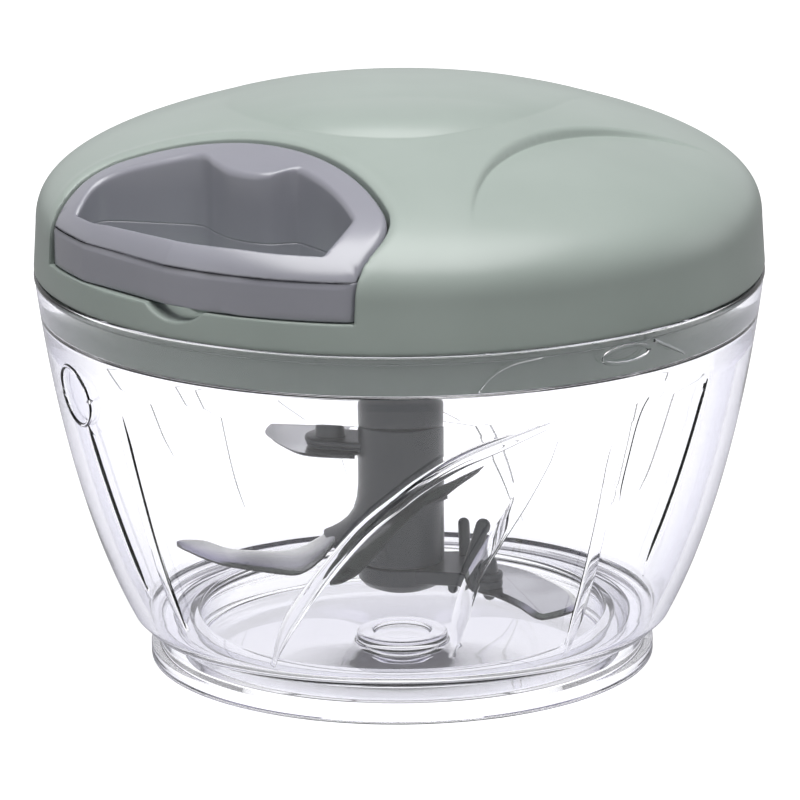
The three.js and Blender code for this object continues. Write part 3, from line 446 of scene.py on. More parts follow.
# Shapes that several pieces share
def belly(count):
    """Outside of the bowl's wall from the belly's foot to the rim."""
    wide = RIM_RADIUS - BELLY_RADIUS
    high = RIM_HEIGHT - BELLY_HEIGHT
    shares = ((0, 0), *BELLY_SHARES, (1, 1))
    return bezier([(BELLY_RADIUS + s * wide, BELLY_HEIGHT + t * high) for s, t in shares], count)


BELLY_LINE = np.array(belly(200))


def bowl_radius(z):
    return float(np.interp(z, BELLY_LINE[:, 1], BELLY_LINE[:, 0]))


def lid_line(crown_steps, shoulder_steps):
    """Outside of the lid from the crown to the start of its side."""
    reach = math.asin(CROWN_REACH / CROWN_RADIUS)
    centre = LID_TOP - CROWN_RADIUS
    crown = [(CROWN_RADIUS * math.sin(reach * i / crown_steps),
              centre + CROWN_RADIUS * math.cos(reach * i / crown_steps)) for i in range(crown_steps)]
    start = np.array((CROWN_REACH, centre + CROWN_RADIUS * math.cos(reach)))
    end = np.array((SIDE_RADIUS, SIDE_TOP))
    span = np.linalg.norm(end - start)
    leave = start + np.array((math.cos(reach), -math.sin(reach))) * CROWN_PULL * span
    arrive = end + np.array((0, SHOULDER_PULL * span))
    return crown + bezier([start, leave, arrive, end], shoulder_steps)


DOME_LINE = np.array(lid_line(160, 400))


def dome(r):
    return np.interp(r, DOME_LINE[:, 0], DOME_LINE[:, 1])


def handle_outline(margin, corner, front, steps=24):
    """Outline of the handle from above: back arc, two corners and straight sides out to the front."""
    half = HANDLE_HALF + margin
    arc = HANDLE_ARC + margin
    middle = HANDLE_BACK + HANDLE_ARC
    corner_v = half - corner
    corner_u = middle - math.sqrt((arc - corner) ** 2 - corner_v ** 2)
    lean = math.atan2(corner_v, middle - corner_u)
    points = [(front, half)]
    for i in range(steps + 1):
        angle = math.pi / 2 + (math.pi / 2 - lean) * i / steps
        points.append((corner_u + corner * math.cos(angle), corner_v + corner * math.sin(angle)))
    for i in range(1, 3 * steps):
        angle = math.pi - lean + 2 * lean * i / (3 * steps)
        points.append((middle + arc * math.cos(angle), arc * math.sin(angle)))
    for i in range(steps + 1):
        angle = math.pi + lean + (math.pi / 2 - lean) * i / steps
        points.append((corner_u + corner * math.cos(angle), -corner_v + corner * math.sin(angle)))
    points.append((front, -half))
    return points


def offset_line(points, distance):
    """Open profile line moved to its left by a distance."""
    line = np.array(points, float)
    along = np.gradient(line, axis=0)
    along /= np.linalg.norm(along, axis=1)[:, None]
    return line + distance * np.column_stack((-along[:, 1], along[:, 0]))


def rounded(points, radius, steps=4):
    """Profile line with its sharp corners rounded; its two ends stay."""
    out = [tuple(points[0])]
    for before, corner, after in zip(points, points[1:], points[2:]):
        corner = np.array(corner, float)
        back = np.array(before, float) - corner
        on = np.array(after, float) - corner
        back_length, on_length = np.linalg.norm(back), np.linalg.norm(on)
        opening = math.acos(np.clip(back @ on / (back_length * on_length), -1, 1))
        if opening > math.radians(150):
            out.append(tuple(corner))
            continue
        reach = min(radius / math.tan(opening / 2), 0.45 * back_length, 0.45 * on_length)
        first = corner + back / back_length * reach
        last = corner + on / on_length * reach
        for k in range(steps + 1):
            t = k / steps
            out.append(tuple((1 - t) ** 2 * first + 2 * t * (1 - t) * corner + t * t * last))
    out.append(tuple(points[-1]))
    return out


def rounded_loop(points, radius, steps=4):
    """Closed outline with its corners rounded."""
    start = tuple((np.array(points[0], float) + np.array(points[-1], float)) / 2)
    return rounded([start] + list(points) + [start], radius, steps)[:-1]


# Bowl
# Each rib: its bearings and heights, then half its width and half its thickness
RIBS = (
    (((242.7, 10.7), (247.5, 18.5), (253.3, 26.5), (263.3, 39.1), (269.6, 45.1), (273.8, 48.7),
      (279.8, 52.7), (287.2, 55.6), (296.7, 58.5)), 1.5, 0.95),
    (((296, 58), (290.2, 45.1), (282.5, 29.8), (279.7, 14.2)), 1.7, 0.55),
    (((218.9, 58), (220.4, 34.8), (221.6, 11.6)), 1.5, 0.5),
    (((207.1, 52.5), (210.3, 35.5), (213, 18.6)), 1.4, 0.5),
    (((306.9, 56.7), (305.8, 34), (304.9, 11.1)), 1.5, 0.5),
    (((317.2, 62.2), (312.4, 57.5), (310.6, 48), (309.8, 38)), 1.3, 0.5),
    (((328.5, 61.7), (324.6, 43), (320, 23.8)), 1.4, 0.5),
)
RIB_SINK = 0.2
RING_SINK = 0.05
SCORE_SINK = 0.08
# Each ring: bearing and height of its middle, half its width and height, and half its thickness
RINGS = ((306.9, 68.4, 4.4, 1.5, 0.38), (204.5, 54.8, 5.6, 5.3, 0.42))
SCORES = (((282.1, 64.8), (284.2, 67.4), (287.2, 69.2), (292, 70)), ((312.4, 69.8), (319.8, 65.9)))


def on_bowl(azimuth, z, proud=0):
    r = bowl_radius(z) + proud
    angle = math.radians(azimuth)
    return (r * math.cos(angle), r * math.sin(angle), z)


def bowl_profile():
    outside = belly(60)
    inside = [tuple(p) for p in offset_line(outside, BOWL_WALL)
              if SHELF_HEIGHT + 4 < p[1] < RIM_HEIGHT - 11][::-1]
    rim_inside = RIM_RADIUS - RIM_WALL
    outer = rounded([(0, 0.5), (38.4, 0.5), (38.4, 6.3), (41.7, 6.3), (41.7, 0), (45.2, 0), (45.2, 2.6),
                     (43.7, 3.5), (43.7, 7.2), (46.6, 7.2), outside[0]], 0.45)
    outside = [p for p in outside if p[1] < RIM_HEIGHT - 2]
    bead = rounded([outside[-1], (RIM_RADIUS - 0.55, RIM_HEIGHT - 1.35), (RIM_RADIUS, RIM_HEIGHT - 1.15),
                    (RIM_RADIUS, RIM_HEIGHT), (RIM_RADIUS - 1.2, RIM_HEIGHT),
                    (RIM_RADIUS - 1.5, RIM_HEIGHT - 0.5), (rim_inside, RIM_HEIGHT - 0.5),
                    (rim_inside, RIM_HEIGHT - 1.8)], 0.55, 5)
    ledge = rounded([bead[-1], (rim_inside, 64.1), (61.2, 64.1), (60.7, 63.6), (60.7, 62.7), inside[0]],
                    0.8, 6)
    rim = bead[:-1] + ledge
    well = rounded([inside[-1], (46.4, 9.6), (43.2, SHELF_HEIGHT), (WELL_RADIUS, SHELF_HEIGHT),
                    (WELL_RADIUS, 2), (8.2, 2), (8.2, 3.7), (5.2, 3.7), (5.2, 2.9), (0, 2.9)], 0.6)
    return outer[:-1] + outside[:-1] + rim[:-1] + inside[:-1] + well


def make_rib(plan, wide, high, turned_by):
    line = curve_through(plan, max(4, 40 // len(plan)))
    points = [on_bowl(azimuth + turned_by, z, -RIB_SINK) for azimuth, z in line]
    count = len(points)
    swell = []
    for i in range(count):
        from_end = min(i, count - 1 - i)
        swell.append(max(0.2, min(1, 6 * from_end / count)) ** 0.6)
    return swept("rib", points, [(wide * s, high * s) for s in swell], 24, boxy=0.8)


def make_ring(azimuth, z, half_angle, half_height, radius):
    steps = 48
    points = []
    for i in range(steps + 2):
        angle = TURN * i / steps
        points.append(on_bowl(azimuth + half_angle * math.cos(angle), z + half_height * math.sin(angle),
                              -RING_SINK))
    return swept("ring", points, [(radius, radius)] * len(points), 10)


def make_bowl():
    bowl = spun("clear_bowl", bowl_profile(), BOWL_STEPS)
    raised = [make_rib(*rib, turned_by) for turned_by in (0, 180) for rib in RIBS]
    raised += [make_ring(*ring) for ring in RINGS]
    for score in SCORES:
        points = [on_bowl(*p, -SCORE_SINK) for p in curve_through(score, 10)]
        raised.append(swept("score", points, [(0.3, 0.3)] * len(points), 8))
    cut(bowl, joined(raised), "UNION")
    finish_piece(bowl, CLEAR, "clear_plastic", "bowl", "bowl", angle=28)


# Lid
MOUND_LINE = ((0, 50), (-26, 38), (-31, 10.6), (-28.5, -4.5), (-20.8, -17), (-9.9, -25), (2.9, -26.8),
              (14.6, -20.9), (24.4, -9.6), (30, 3), (34.3, 18.5), (26, 40), (0, 50))
LEAF_TURN = math.radians(319.8)
LEAF_ARC = 50
LEAF_APEX = 32
LEAF_SPREAD = 42
LEAF_DEPTH = 1.75
LEAF_EDGE = 1.05
LEAF_RISE = 24
LEAF_MIDDLE = (LEAF_APEX + LEAF_ARC) * np.array((math.cos(LEAF_TURN), math.sin(LEAF_TURN)))
REFINE_REACH = 1.7
# Height of the oval at its crease by y, its share by x, and how wide the crease falls off by x
MOUND_RISE = ((-27, -20, -10, 0, 5, 20, 34), (3.5, 2.1, 1.12, 0.82, 0.76, 0.5, 0))
MOUND_SHARE = ((17, 30), (1, 0.5))
MOUND_FALL = ((0, 15, 30), (5, 3.8, 1.6))


def near_line(xy, line, reach):
    """Distance of each point to a line, no more than reach, and the nearest points on it."""
    best = np.full(len(xy), float(reach))
    spots = xy.copy()
    order = np.argsort(xy[:, 0])
    ranked = xy[order, 0]
    for a, b in zip(line, line[1:]):
        first = np.searchsorted(ranked, min(a[0], b[0]) - reach)
        last = np.searchsorted(ranked, max(a[0], b[0]) + reach)
        rows = order[first:last]
        some = xy[rows]
        along = b - a
        share = np.clip(((some - a) @ along) / (along @ along), 0, 1)
        spot = a + share[:, None] * along
        far = np.linalg.norm(some - spot, axis=1)
        closer = far < best[rows]
        best[rows[closer]] = far[closer]
        spots[rows[closer]] = spot[closer]
    return best, spots


def within(xy, line):
    """Which points lie inside a closed line."""
    inside = np.zeros(len(xy), bool)
    for (ax, ay), (bx, by) in zip(line, line[1:]):
        crosses = (ay > xy[:, 1]) != (by > xy[:, 1])
        with np.errstate(divide="ignore", invalid="ignore"):
            at = (bx - ax) * (xy[:, 1] - ay) / (by - ay) + ax
        inside ^= crosses & (xy[:, 0] < at)
    return inside


def leaf_line():
    angles = LEAF_TURN + math.pi + np.radians(np.linspace(-LEAF_SPREAD, LEAF_SPREAD, 73))
    return LEAF_MIDDLE + LEAF_ARC * np.column_stack((np.cos(angles), np.sin(angles)))


def leaf_depth(xy):
    """Depth of the leaf-shaped hollow: a steep wall on the arc, a sharp foot, a slow rise outwards."""
    away = xy - LEAF_MIDDLE
    far = np.linalg.norm(away, axis=1)
    bearing = np.arctan2(away[:, 1], away[:, 0]) - LEAF_TURN - math.pi
    bearing = np.abs((bearing + math.pi) % TURN - math.pi)
    fade = np.clip(1 - (bearing / math.radians(LEAF_SPREAD)) ** 2, 0, 1) ** 1.3
    inward = LEAF_ARC - far
    down = np.clip((inward + LEAF_EDGE) / LEAF_EDGE, 0, 1)
    wall = 1 - np.sqrt(np.clip(1 - down ** 2, 0, 1))
    rise = np.clip(1 - inward / LEAF_RISE, 0, 1) ** 2
    return LEAF_DEPTH * fade * np.where(inward > 0, rise, wall)


def recess_line():
    c, s = math.cos(HANDLE_TURN), math.sin(HANDLE_TURN)
    return np.array([(u * c - v * s, u * s + v * c)
                     for u, v in handle_outline(RECESS_GAP, HANDLE_CORNER + RECESS_GAP, 75)])


def refine_near(piece, lines, reach, cuts):
    """Divides the faces of the lid's outer face that lie near lines."""
    mesh = piece.data
    centres = np.zeros(len(mesh.polygons) * 3)
    mesh.polygons.foreach_get("center", centres)
    centres = centres.reshape(-1, 3) / MM
    near = np.zeros(len(centres), bool)
    outer = centres[:, 2] > np.maximum(dome(np.linalg.norm(centres[:, :2], axis=1)) - 0.3, 82)
    for line in lines:
        far, _ = near_line(centres[outer, :2], line, reach + 0.1)
        near[outer] |= far < reach
    chosen = np.zeros(len(mesh.vertices), bool)
    for index in np.flatnonzero(near):
        chosen[list(mesh.polygons[index].vertices)] = True
    mesh.polygons.foreach_set("select", near)
    mesh.edges.foreach_set("select", np.zeros(len(mesh.edges), bool))
    mesh.vertices.foreach_set("select", chosen)
    pick(piece)
    bpy.ops.object.mode_set(mode="EDIT")
    bpy.ops.mesh.select_mode(type="FACE")
    bpy.ops.mesh.subdivide(number_cuts=cuts, quadcorner="INNERVERT")
    bpy.ops.mesh.select_mode(type="VERT")
    bpy.ops.object.mode_set(mode="OBJECT")


def shape_crown(piece):
    """Raises the oval, sinks the leaf and rolls the edge round the recess on the lid's outer face."""
    mound = np.array(curve_through(MOUND_LINE, 12))
    refine_near(piece, (mound[12:-12], leaf_line(), recess_line()[1:-1]), REFINE_REACH, 2)
    count = len(piece.data.vertices)
    co = np.zeros(count * 3)
    piece.data.vertices.foreach_get("co", co)
    co = co.reshape(-1, 3) / MM
    r = np.linalg.norm(co[:, :2], axis=1)
    skin = (co[:, 2] > 80.6) & (co[:, 2] > dome(r) - 0.2)
    xy = co[skin, :2]
    for line in (mound, leaf_line()):
        far, spots = near_line(xy, line, 0.2)
        snap = (far < 0.17) & (xy[:, 1] < 30)
        xy[snap] = spots[snap]
    far, _ = near_line(xy, mound, 14)
    inside = within(xy, mound)
    rise = np.interp(xy[:, 1], *MOUND_RISE) * np.interp(np.abs(xy[:, 0]), *MOUND_SHARE)
    fall = np.interp(np.abs(xy[:, 0]), *MOUND_FALL)
    z = dome(np.linalg.norm(xy, axis=1))
    z = z + np.where(inside, rise * (1 - np.exp(-far / fall)), 0)
    z = z - leaf_depth(xy)
    far, _ = near_line(xy, recess_line(), 6)
    z = z - 0.45 * np.clip(1 - far / 1.1, 0, 1) ** 2 + 0.22 * np.exp(-((far - 1.9) / 1.2) ** 2)
    co[skin, :2] = xy
    co[skin, 2] = z
    piece.data.vertices.foreach_set("co", (co * MM).ravel())
    piece.data.update()


def lid_profile():
    outer = lid_line(72, 52)
    inner = [tuple(p) for p in offset_line(lid_line(5, 9), -LID_WALL)]
    inner[0] = (0, LID_TOP - LID_WALL)
    side = [(SIDE_RADIUS + (LID_RADIUS - SIDE_RADIUS) * t, SIDE_TOP + (LID_EDGE - SIDE_TOP) * t)
            for t in (0.25, 0.5, 0.75)]
    foot = rounded([side[-1], (LID_RADIUS, LID_EDGE), (LID_RADIUS - LID_WALL, LID_EDGE), inner[-1]], 0.5)
    return outer + side[:-1] + foot + inner[::-1][1:]


def inset_dome(name, inset):
    line = [tuple(p) for p in offset_line(lid_line(24, 32), -inset)]
    line[0] = (0, LID_TOP - inset)
    return spun(name, line + [(line[-1][0], 70), (0, 70)], 160)


def handle_slab(name, margin, bottom):
    outline = handle_outline(margin, HANDLE_CORNER + margin, 75)
    piece = slab(name, outline, bottom, LID_TOP + 6)
    turn(piece, HANDLE_TURN)
    return piece


def notch_post(name, near, far, radius):
    return handle_post(name, (near, NOTCH_SIDE, NOTCH_HEIGHT), (far, NOTCH_SIDE, NOTCH_HEIGHT), radius, 64)


def screw_spots():
    return [(SCREW_CIRCLE * math.cos(math.radians(bearing)), SCREW_CIRCLE * math.sin(math.radians(bearing)))
            for bearing in SCREW_BEARINGS]


def make_lid():
    lid = spun("lid_dome", lid_profile(), LID_STEPS)
    shape_crown(lid)
    tray = handle_slab("tray", RECESS_GAP + TRAY_WALL, RECESS_FLOOR - TRAY_WALL)
    cut(tray, notch_post("sill_under_notch", 54, 66, NOTCH_RADIUS + 1.6), "UNION")
    cut(tray, inset_dome("under_crown", 1), "INTERSECT")
    bosses = [post("boss", (*spot, 71.3), (*spot, 92.8), 3.8, 24) for spot in screw_spots()]
    cut(lid, joined([tray] + bosses), "UNION")
    notch = notch_post("notch", 57, 70, NOTCH_RADIUS)
    throat = handle_post("throat", (26, 0, CORD_HEIGHT), (34, 0, CORD_HEIGHT), 2.9)
    cut(lid, joined([handle_slab("recess", RECESS_GAP, RECESS_FLOOR), notch, throat]))
    finish_piece(lid, SAGE, "sage_plastic", "lid", "lid_shell", angle=24)


# Handle
FINGER_LINE = ((55.3, -27.2), (48.5, -28.9), (45.2, -26.6), (41.3, -18.8), (38.9, -12.9), (41, -8),
               (42.9, -2.8), (42.8, 2.7), (41.5, 5.7), (39.2, 7.4), (38.4, 9.6), (40.8, 17.7), (44.4, 25),
               (46.4, 26.8), (53.2, 27.2), (55, 25.6), (58.5, 15.7), (60.5, 0.6), (58.5, -17.9),
               (55.3, -27.2))


def ray_reach(line, angle):
    """How far a ray from the handle's centre goes before it meets a closed line."""
    dx, dy = math.cos(angle), math.sin(angle)
    for (ax, ay), (bx, by) in zip(line, line[1:]):
        ax -= HANDLE_CENTRE
        bx -= HANDLE_CENTRE
        across = dx * (by - ay) - dy * (bx - ax)
        if abs(across) < 1e-9:
            continue
        t = (ax * (by - ay) - ay * (bx - ax)) / across
        share = (ax * dy - ay * dx) / across
        if t > 0 and -1e-9 <= share <= 1 + 1e-9:
            return t
    return 1e9


def circle_reach(radius, angle):
    b = HANDLE_CENTRE * math.cos(angle)
    return -b + math.sqrt(b * b - HANDLE_CENTRE ** 2 + radius ** 2)


def soft_least(a, b, sharp=1.3):
    low = min(a, b)
    return low - math.log(math.exp(-sharp * (a - low)) + math.exp(-sharp * (b - low))) / sharp


def spread(points, count):
    """Resamples a line so that its bends get more points than its straights."""
    line = np.array(points)
    line = line[np.append(np.linalg.norm(np.diff(line, axis=0), axis=1) > 1e-7, True)]
    steps = np.diff(line, axis=0)
    lengths = np.linalg.norm(steps, axis=1)
    bearing = np.unwrap(np.arctan2(steps[:, 1], steps[:, 0]))
    bend = np.abs(np.diff(bearing, prepend=bearing[0])) + 1e-9
    weight = np.concatenate(([0], np.cumsum(lengths / lengths.sum() + 0.45 * bend / math.pi)))
    at = np.linspace(0, weight[-1], count)
    return np.column_stack([np.interp(at, weight, line[:, k]) for k in (0, 1)])


def handle_section(angle, finger, outline):
    """Full section of the handle along a ray: up the finger side, over the top and down the outside."""
    inner = ray_reach(finger, angle)
    back = ray_reach(outline, angle)
    front = circle_reach(SIDE_RADIUS - HANDLE_SINK, angle)
    outer = soft_least(back, front)
    ahead = 1 / (1 + math.exp(-2 * (back - front)))
    inner_round, outer_round = 1.1, 1.4 * (1 - ahead)
    span = outer - inner
    share = 0.5 - 0.5 * np.cos(np.linspace(0, math.pi, 90))
    t = inner + span * share
    r = np.hypot(HANDLE_CENTRE + t * math.cos(angle), t * math.sin(angle))
    z = dome(np.minimum(r, SIDE_RADIUS)) - HANDLE_SINK

    def fall(distance, radius):
        if radius < 0.05:
            return 0 * distance
        gone = np.clip(1 - distance / radius, 0, 1)
        return radius * (1 - np.sqrt(1 - gone ** 2))

    z = z - fall(t - inner, inner_round) - fall(outer - t, outer_round)
    top = list(zip(t, z))
    up = [(inner, HANDLE_BOTTOM + (z[0] - HANDLE_BOTTOM) * k / 12) for k in range(12)]
    down = [(outer, z[-1] + (HANDLE_BOTTOM - z[-1]) * k / 12) for k in range(1, 13)]
    return up + top + down


def clip_heights(section, low, high):
    """Part of a section between two heights, closed by straight lines."""
    line = np.array(section)
    at = np.linspace(0, len(line) - 1, 1600)
    dense = np.column_stack([np.interp(at, np.arange(len(line)), line[:, k]) for k in (0, 1)])
    dense[:, 1] = np.clip(dense[:, 1], low, high)
    return dense


def ring_of_sections(name, low, high, around=320, count=44):
    """Handle half: a torus whose rings are moved onto the sections of the handle."""
    outline = handle_outline(0, HANDLE_CORNER, 90)
    outline = outline + [outline[0]]
    finger = curve_through(FINGER_LINE, 10)
    deselect()
    bpy.ops.mesh.primitive_torus_add(major_segments=around, minor_segments=count)
    piece = new_piece(name)
    spots = []
    for i in range(around):
        angle = TURN * i / around
        line = clip_heights(handle_section(angle, finger, outline), low, high)
        for t, z in spread(np.vstack((line, line[:1])), count + 1)[:-1]:
            spots.append((HANDLE_CENTRE + t * math.cos(angle), t * math.sin(angle), z))
    piece.data.vertices.foreach_set("co", (np.array(spots) * MM).ravel())
    piece.data.update()
    turn(piece, HANDLE_TURN)
    bpy.ops.object.mode_set(mode="EDIT")
    tidy_faces()
    return piece


def make_handle():
    upper = ring_of_sections("handle_top_half", HANDLE_SPLIT, LID_TOP)
    cut(upper, handle_post("bore", (30, 0, CORD_HEIGHT), (41, 0, CORD_HEIGHT), 1.3))
    finish_piece(upper, LILAC, "lilac_plastic", "handle", "handle_upper", angle=35)
    lower = ring_of_sections("handle_bottom_half", HANDLE_BOTTOM, HANDLE_SPLIT - 0.02)
    for v in (-HANDLE_SCREW[1], HANDLE_SCREW[1]):
        for radius, top in ((2.2, 79.5), (1.4, 90)):
            cut(lower, handle_post("hole", (HANDLE_SCREW[0], v, 70), (HANDLE_SCREW[0], v, top), radius, 24))
    finish_piece(lower, LILAC, "lilac_plastic", "handle", "handle_lower", angle=35)


# Inner cover and drive shaft
def make_cover():
    cover = spun("lid_cover", rounded_loop(
        [(6.9, 66), (9.8, 66), (9.8, 69), (60, 69), (60, 64.2), (62.2, 64.2), (62.2, 72.8), (60, 72.8),
         (60, 71), (6.9, 71)], 0.4), 200)
    for spot in screw_spots():
        cut(cover, post("hole", (*spot, 66), (*spot, 74), 1.6, 24))
    # The cover takes the darker copy of the sage plastic: painted shade.
    finish_piece(cover, SHADED_SAGE_COVER, "sage_plastic", "lid", "lid_inner_cover")


def make_shaft():
    profile = [(0, 43.1), (7.5, 43.1), (7.5, 65.7), (4.2, 65.7), (4.2, 77), (0, 77)]
    shaft = spun("hub_sleeve", rounded(profile, 0.3), 96)
    cut(shaft, post("spigot", (0, 0, 39.2), (0, 0, 44), 4.8, 6), "UNION")
    cut(shaft, post("seat", (0, 0, 76), (0, 0, 93.4), 4.2, 6), "UNION")
    cut(shaft, post("screw_hole", (0, 0, 86), (0, 0, 94), 1.7, 24))
    finish_piece(shaft, GREY, "grey_plastic", "spindle", "drive_shaft")


# Hub
HUB_RADIUS = 7.7
HUB_BOTTOM = 17.2
HUB_TOP = 42.8
ARM_TURN = math.radians(164.2)
ARM_REACH = 13.2
ROOT_LINE = ((6.6, 31.6), (7.72, 31.2), (7.95, 28.8), (8.6, 26.5), (9.8, 24.8), (11.3, 23.6),
             (12.8, 22.8), (14, 22.3), (14, 21.2), (10.4, 20.6), (8.1, 18.4), (6.6, 18.4))
WEB_LINE = ((6.6, 35.6), (7.72, 35.9), (8, 36.8), (8.7, 37.5), (10, 37.9), (6.6, 37.9))


def flared(name, line, first, last, fade, steps=36):
    """Root that flares from the hub between two bearings and dies away at both."""
    rings = []
    for i in range(steps + 1):
        bearing = first + (last - first) * i / steps
        share = min(1, (bearing - first) / fade + 0.04, (last - bearing) / fade + 0.04)
        swell = math.sin(share * math.pi / 2)
        angle = math.radians(bearing)
        ring = []
        for r, z in line:
            reach = HUB_RADIUS + (r - HUB_RADIUS) * swell if r > HUB_RADIUS else r
            ring.append((reach * math.cos(angle), reach * math.sin(angle), z))
        rings.append(ring)
    return lofted(name, rings)


def arm_outline(reach, half, steps=20):
    """Arm that leaves the axis along x and ends in a half circle, drawn anticlockwise."""
    arc = [(reach + half * math.sin(math.pi * i / steps), -half * math.cos(math.pi * i / steps))
           for i in range(steps + 1)]
    return [(0, -half), (reach / 2, -half)] + arc + [(reach / 2, half), (0, half)]


def blade_curve(points):
    return [tuple(p) for p in curve_through(points, 6)]


def make_hub():
    hub = spun("hub_barrel", rounded(
        [(0, HUB_BOTTOM), (HUB_RADIUS, HUB_BOTTOM), (HUB_RADIUS, HUB_TOP), (0, HUB_TOP)], 0.35), 96)
    arm = stacked("arm", arm_outline(ARM_REACH, 4.6), (
        (37.7, 0.6), (37.85, 0.3), (38.25, 0.25), (38.32, 0.45), (38.42, 0.2), (38.5, 0.04), (39.05, 0),
        (39.22, 0.12), (39.3, 0.4)))
    turn(arm, ARM_TURN)
    cut(hub, arm, "UNION")
    peg = spun("peg", rounded([(0, 38.5), (3.3, 38.9), (2.75, 39.5), (2.5, 43), (0, 43)], 0.35), 40)
    rivet = spun("rivet", rounded([(0, 35.9), (1.5, 35.9), (1.5, 38), (0, 38)], 0.4), 32)
    for piece in (peg, rivet):
        shift(piece, ARM_REACH * math.cos(ARM_TURN), ARM_REACH * math.sin(ARM_TURN))
        cut(hub, piece, "UNION")
    roots = (flared("web", WEB_LINE, 142, 186, 14), flared("root", ROOT_LINE, 150, 250, 30))
    for piece in (*roots, make_lug()):
        cut(hub, piece, "UNION")
    cut(hub, post("socket", (0, 0, 38.9), (0, 0, 46), 5.1, 6))
    finish_piece(hub, GREY, "grey_plastic", "blade_unit", "hub_body")


def make_lug():
    """Lug under the front blade where it passes the hub."""
    upper = blade_curve(FRONT_UPPER[4:7])
    lower = blade_curve(FRONT_LOWER[4:7])
    rings = []
    for a, b in zip(upper, lower):
        a, b = np.array(a), np.array(b)
        inner = np.array((a[0] * 0.55, a[1] * 0.55, a[2] - 1.5))
        outer = a * 0.45 + b * 0.55 - (0, 0, 1.5)
        under = (inner + outer) / 2 - (0, 0, 1.3)
        rings.append([inner, outer, outer - (0, 0, 0.5), under, inner - (0, 0, 2.4)])
    return lofted("lug", rings)


def make_base_ring():
    profile = [(0, 12.2), (5.5, 12.2), (5.5, 12.8), (6.8, 12.8), (7.75, 13.9), (7.75, 16.9), (0, 16.9)]
    ring = spun("hub_base", rounded(profile, 0.35), 96)
    outline = rounded_loop([(1.8, -7.4), (7.6, -8.5), (10.1, -9), (12.6, -12.2), (15.5, -14),
                            (17.8, -12.2), (17.5, -9.4), (14.8, -6.5), (13.3, -1.8), (12.2, 5.2),
                            (1.8, 5.2)], 1.2)
    arm = stacked("lower_arm", outline, ((14.3, 0.5), (14.5, 0.15), (16.2, 0), (16.65, 0.08), (16.9, 0.4)))
    cut(ring, arm, "UNION")
    collar = spun("collar", rounded(
        [(0, 15.4), (2.4, 15.4), (2.4, 16.5), (2.1, 16.7), (2.4, 16.9), (2.4, 18), (1.6, 18), (1.3, 20.2),
         (0.6, 21.4), (0, 21.4)], 0.3), 40)
    shift(collar, 15.6, -11.5)
    cut(ring, collar, "UNION")
    for foot, head, radius in (((11.7, -7.6, 15.8), (15, -5, 25.9), 1.35),
                               ((11.5, 2.4, 15.8), (11.2, 3.6, 23.6), 1.05),
                               ((9.2, -7.4, 15), (9.2, -7.4, 12.7), 1),
                               ((15.6, -11.5, 15), (15.6, -11.5, 12.7), 1.2)):
        cut(ring, round_post(foot, head, radius), "UNION")
    finish_piece(ring, GREY, "grey_plastic", "blade_unit", "hub_base_ring")


def round_post(foot, head, radius):
    """Post with a domed head."""
    foot, head = np.array(foot, float), np.array(head, float)
    length = np.linalg.norm(head - foot)
    along = (head - foot) / length
    stations = [0, (length - radius) / 2]
    radii = [radius * 1.08, radius]
    for k in range(6):
        angle = math.pi / 2 * k / 6
        stations.append(length - radius * (1 - math.sin(angle)))
        radii.append(radius * math.cos(angle))
    points = [foot + along * s for s in stations]
    return swept("post", points, [(r, r) for r in radii], 24, up=(0.1, 1, 0.05))


# Blades
UPPER_BLADE = ((-8.3, -2.6), (-13.8, -1.7), (-17.8, 0.2), (-20.8, 4.9), (-23, 9.6), (-23.5, 12.9),
               (-22.7, 16.9), (-21, 19.6), (-18.4, 21.5), (-15.5, 22.8), (-12.1, 23.7), (-8.6, 23.3),
               (-10, 20.7), (-10.3, 12.1), (-8.6, 5.7))
LOWER_BLADE = ((10.6, 3.5), (15.5, 3.9), (17.6, 3.6), (22.7, -0.9), (26.4, -6.5), (29.6, -12.8),
               (30.9, -18.3), (31, -21.9), (29.8, -24.8), (25.9, -28.3), (23.4, -28.3), (20.4, -21.6),
               (16.6, -15.4), (14.5, -13.6), (12.4, -10.8), (10.6, -7.7))
LEFT_BACK = ((-9.1, 4.1), (-12.2, 3), (-15.2, 0.1), (-18.6, -2.3), (-23.2, -4), (-30.6, -2.6),
             (-35.6, 2.6), (-39.4, 2.7), (-40.6, 0.8))
LEFT_FRONT = ((-9.1, -4.1), (-11.7, -6.2), (-14, -12.9), (-17.3, -17.8), (-20.7, -17.7), (-29.9, -13.1),
              (-34.6, -8.7), (-39.2, -2.3), (-40.5, 0))
FRONT_UPPER = ((-12.1, -25.6, 21.4), (-10.6, -21, 22.6), (-9.5, -18, 23.3), (-5.6, -12.6, 26),
               (1, -9, 29.9), (5, -7.6, 32), (8.9, -3.4, 32.7), (12, 0.7, 33), (15.1, 4, 33.3))
FRONT_LOWER = ((-12, -26, 20.2), (-9.6, -24.6, 21.1), (-7.7, -23, 21.9), (-4.8, -19.6, 24.2),
               (-0.4, -14.5, 27.8), (3.5, -11.3, 30.1), (7.8, -7.6, 31.2), (11.2, -2.3, 32.4),
               (15, 3.6, 33.1))


def paint_edge_shade(blade):
    """Gives the faces that stand upright near-black steel: painted shade on the blade's edges."""
    blade.data.materials.append(EDGE_SHADE)
    for face in blade.data.polygons:
        if abs(face.normal.z) < 0.6:
            face.material_index = 1


def flat_blade(name, outline, bottom, top, node, clockwise=False):
    """Flat blade with a ground bevel round its edge."""
    line = blade_curve(list(outline) + [outline[0]])[:-1]
    if clockwise:
        line = line[::-1]
    blade = stacked(name, line, ((bottom, 0.1), (bottom + 0.1, 0), (bottom + 0.5, 0), (top, 1.1)))
    finish_piece(blade, BLADE, "blade_steel", "blade_unit", node, angle=12)
    paint_edge_shade(blade)


def left_height(x):
    reach = min(1, max(0, (20 + x) / 12.3))
    return 20.4 + 3.4 * reach * reach * (3 - 2 * reach)


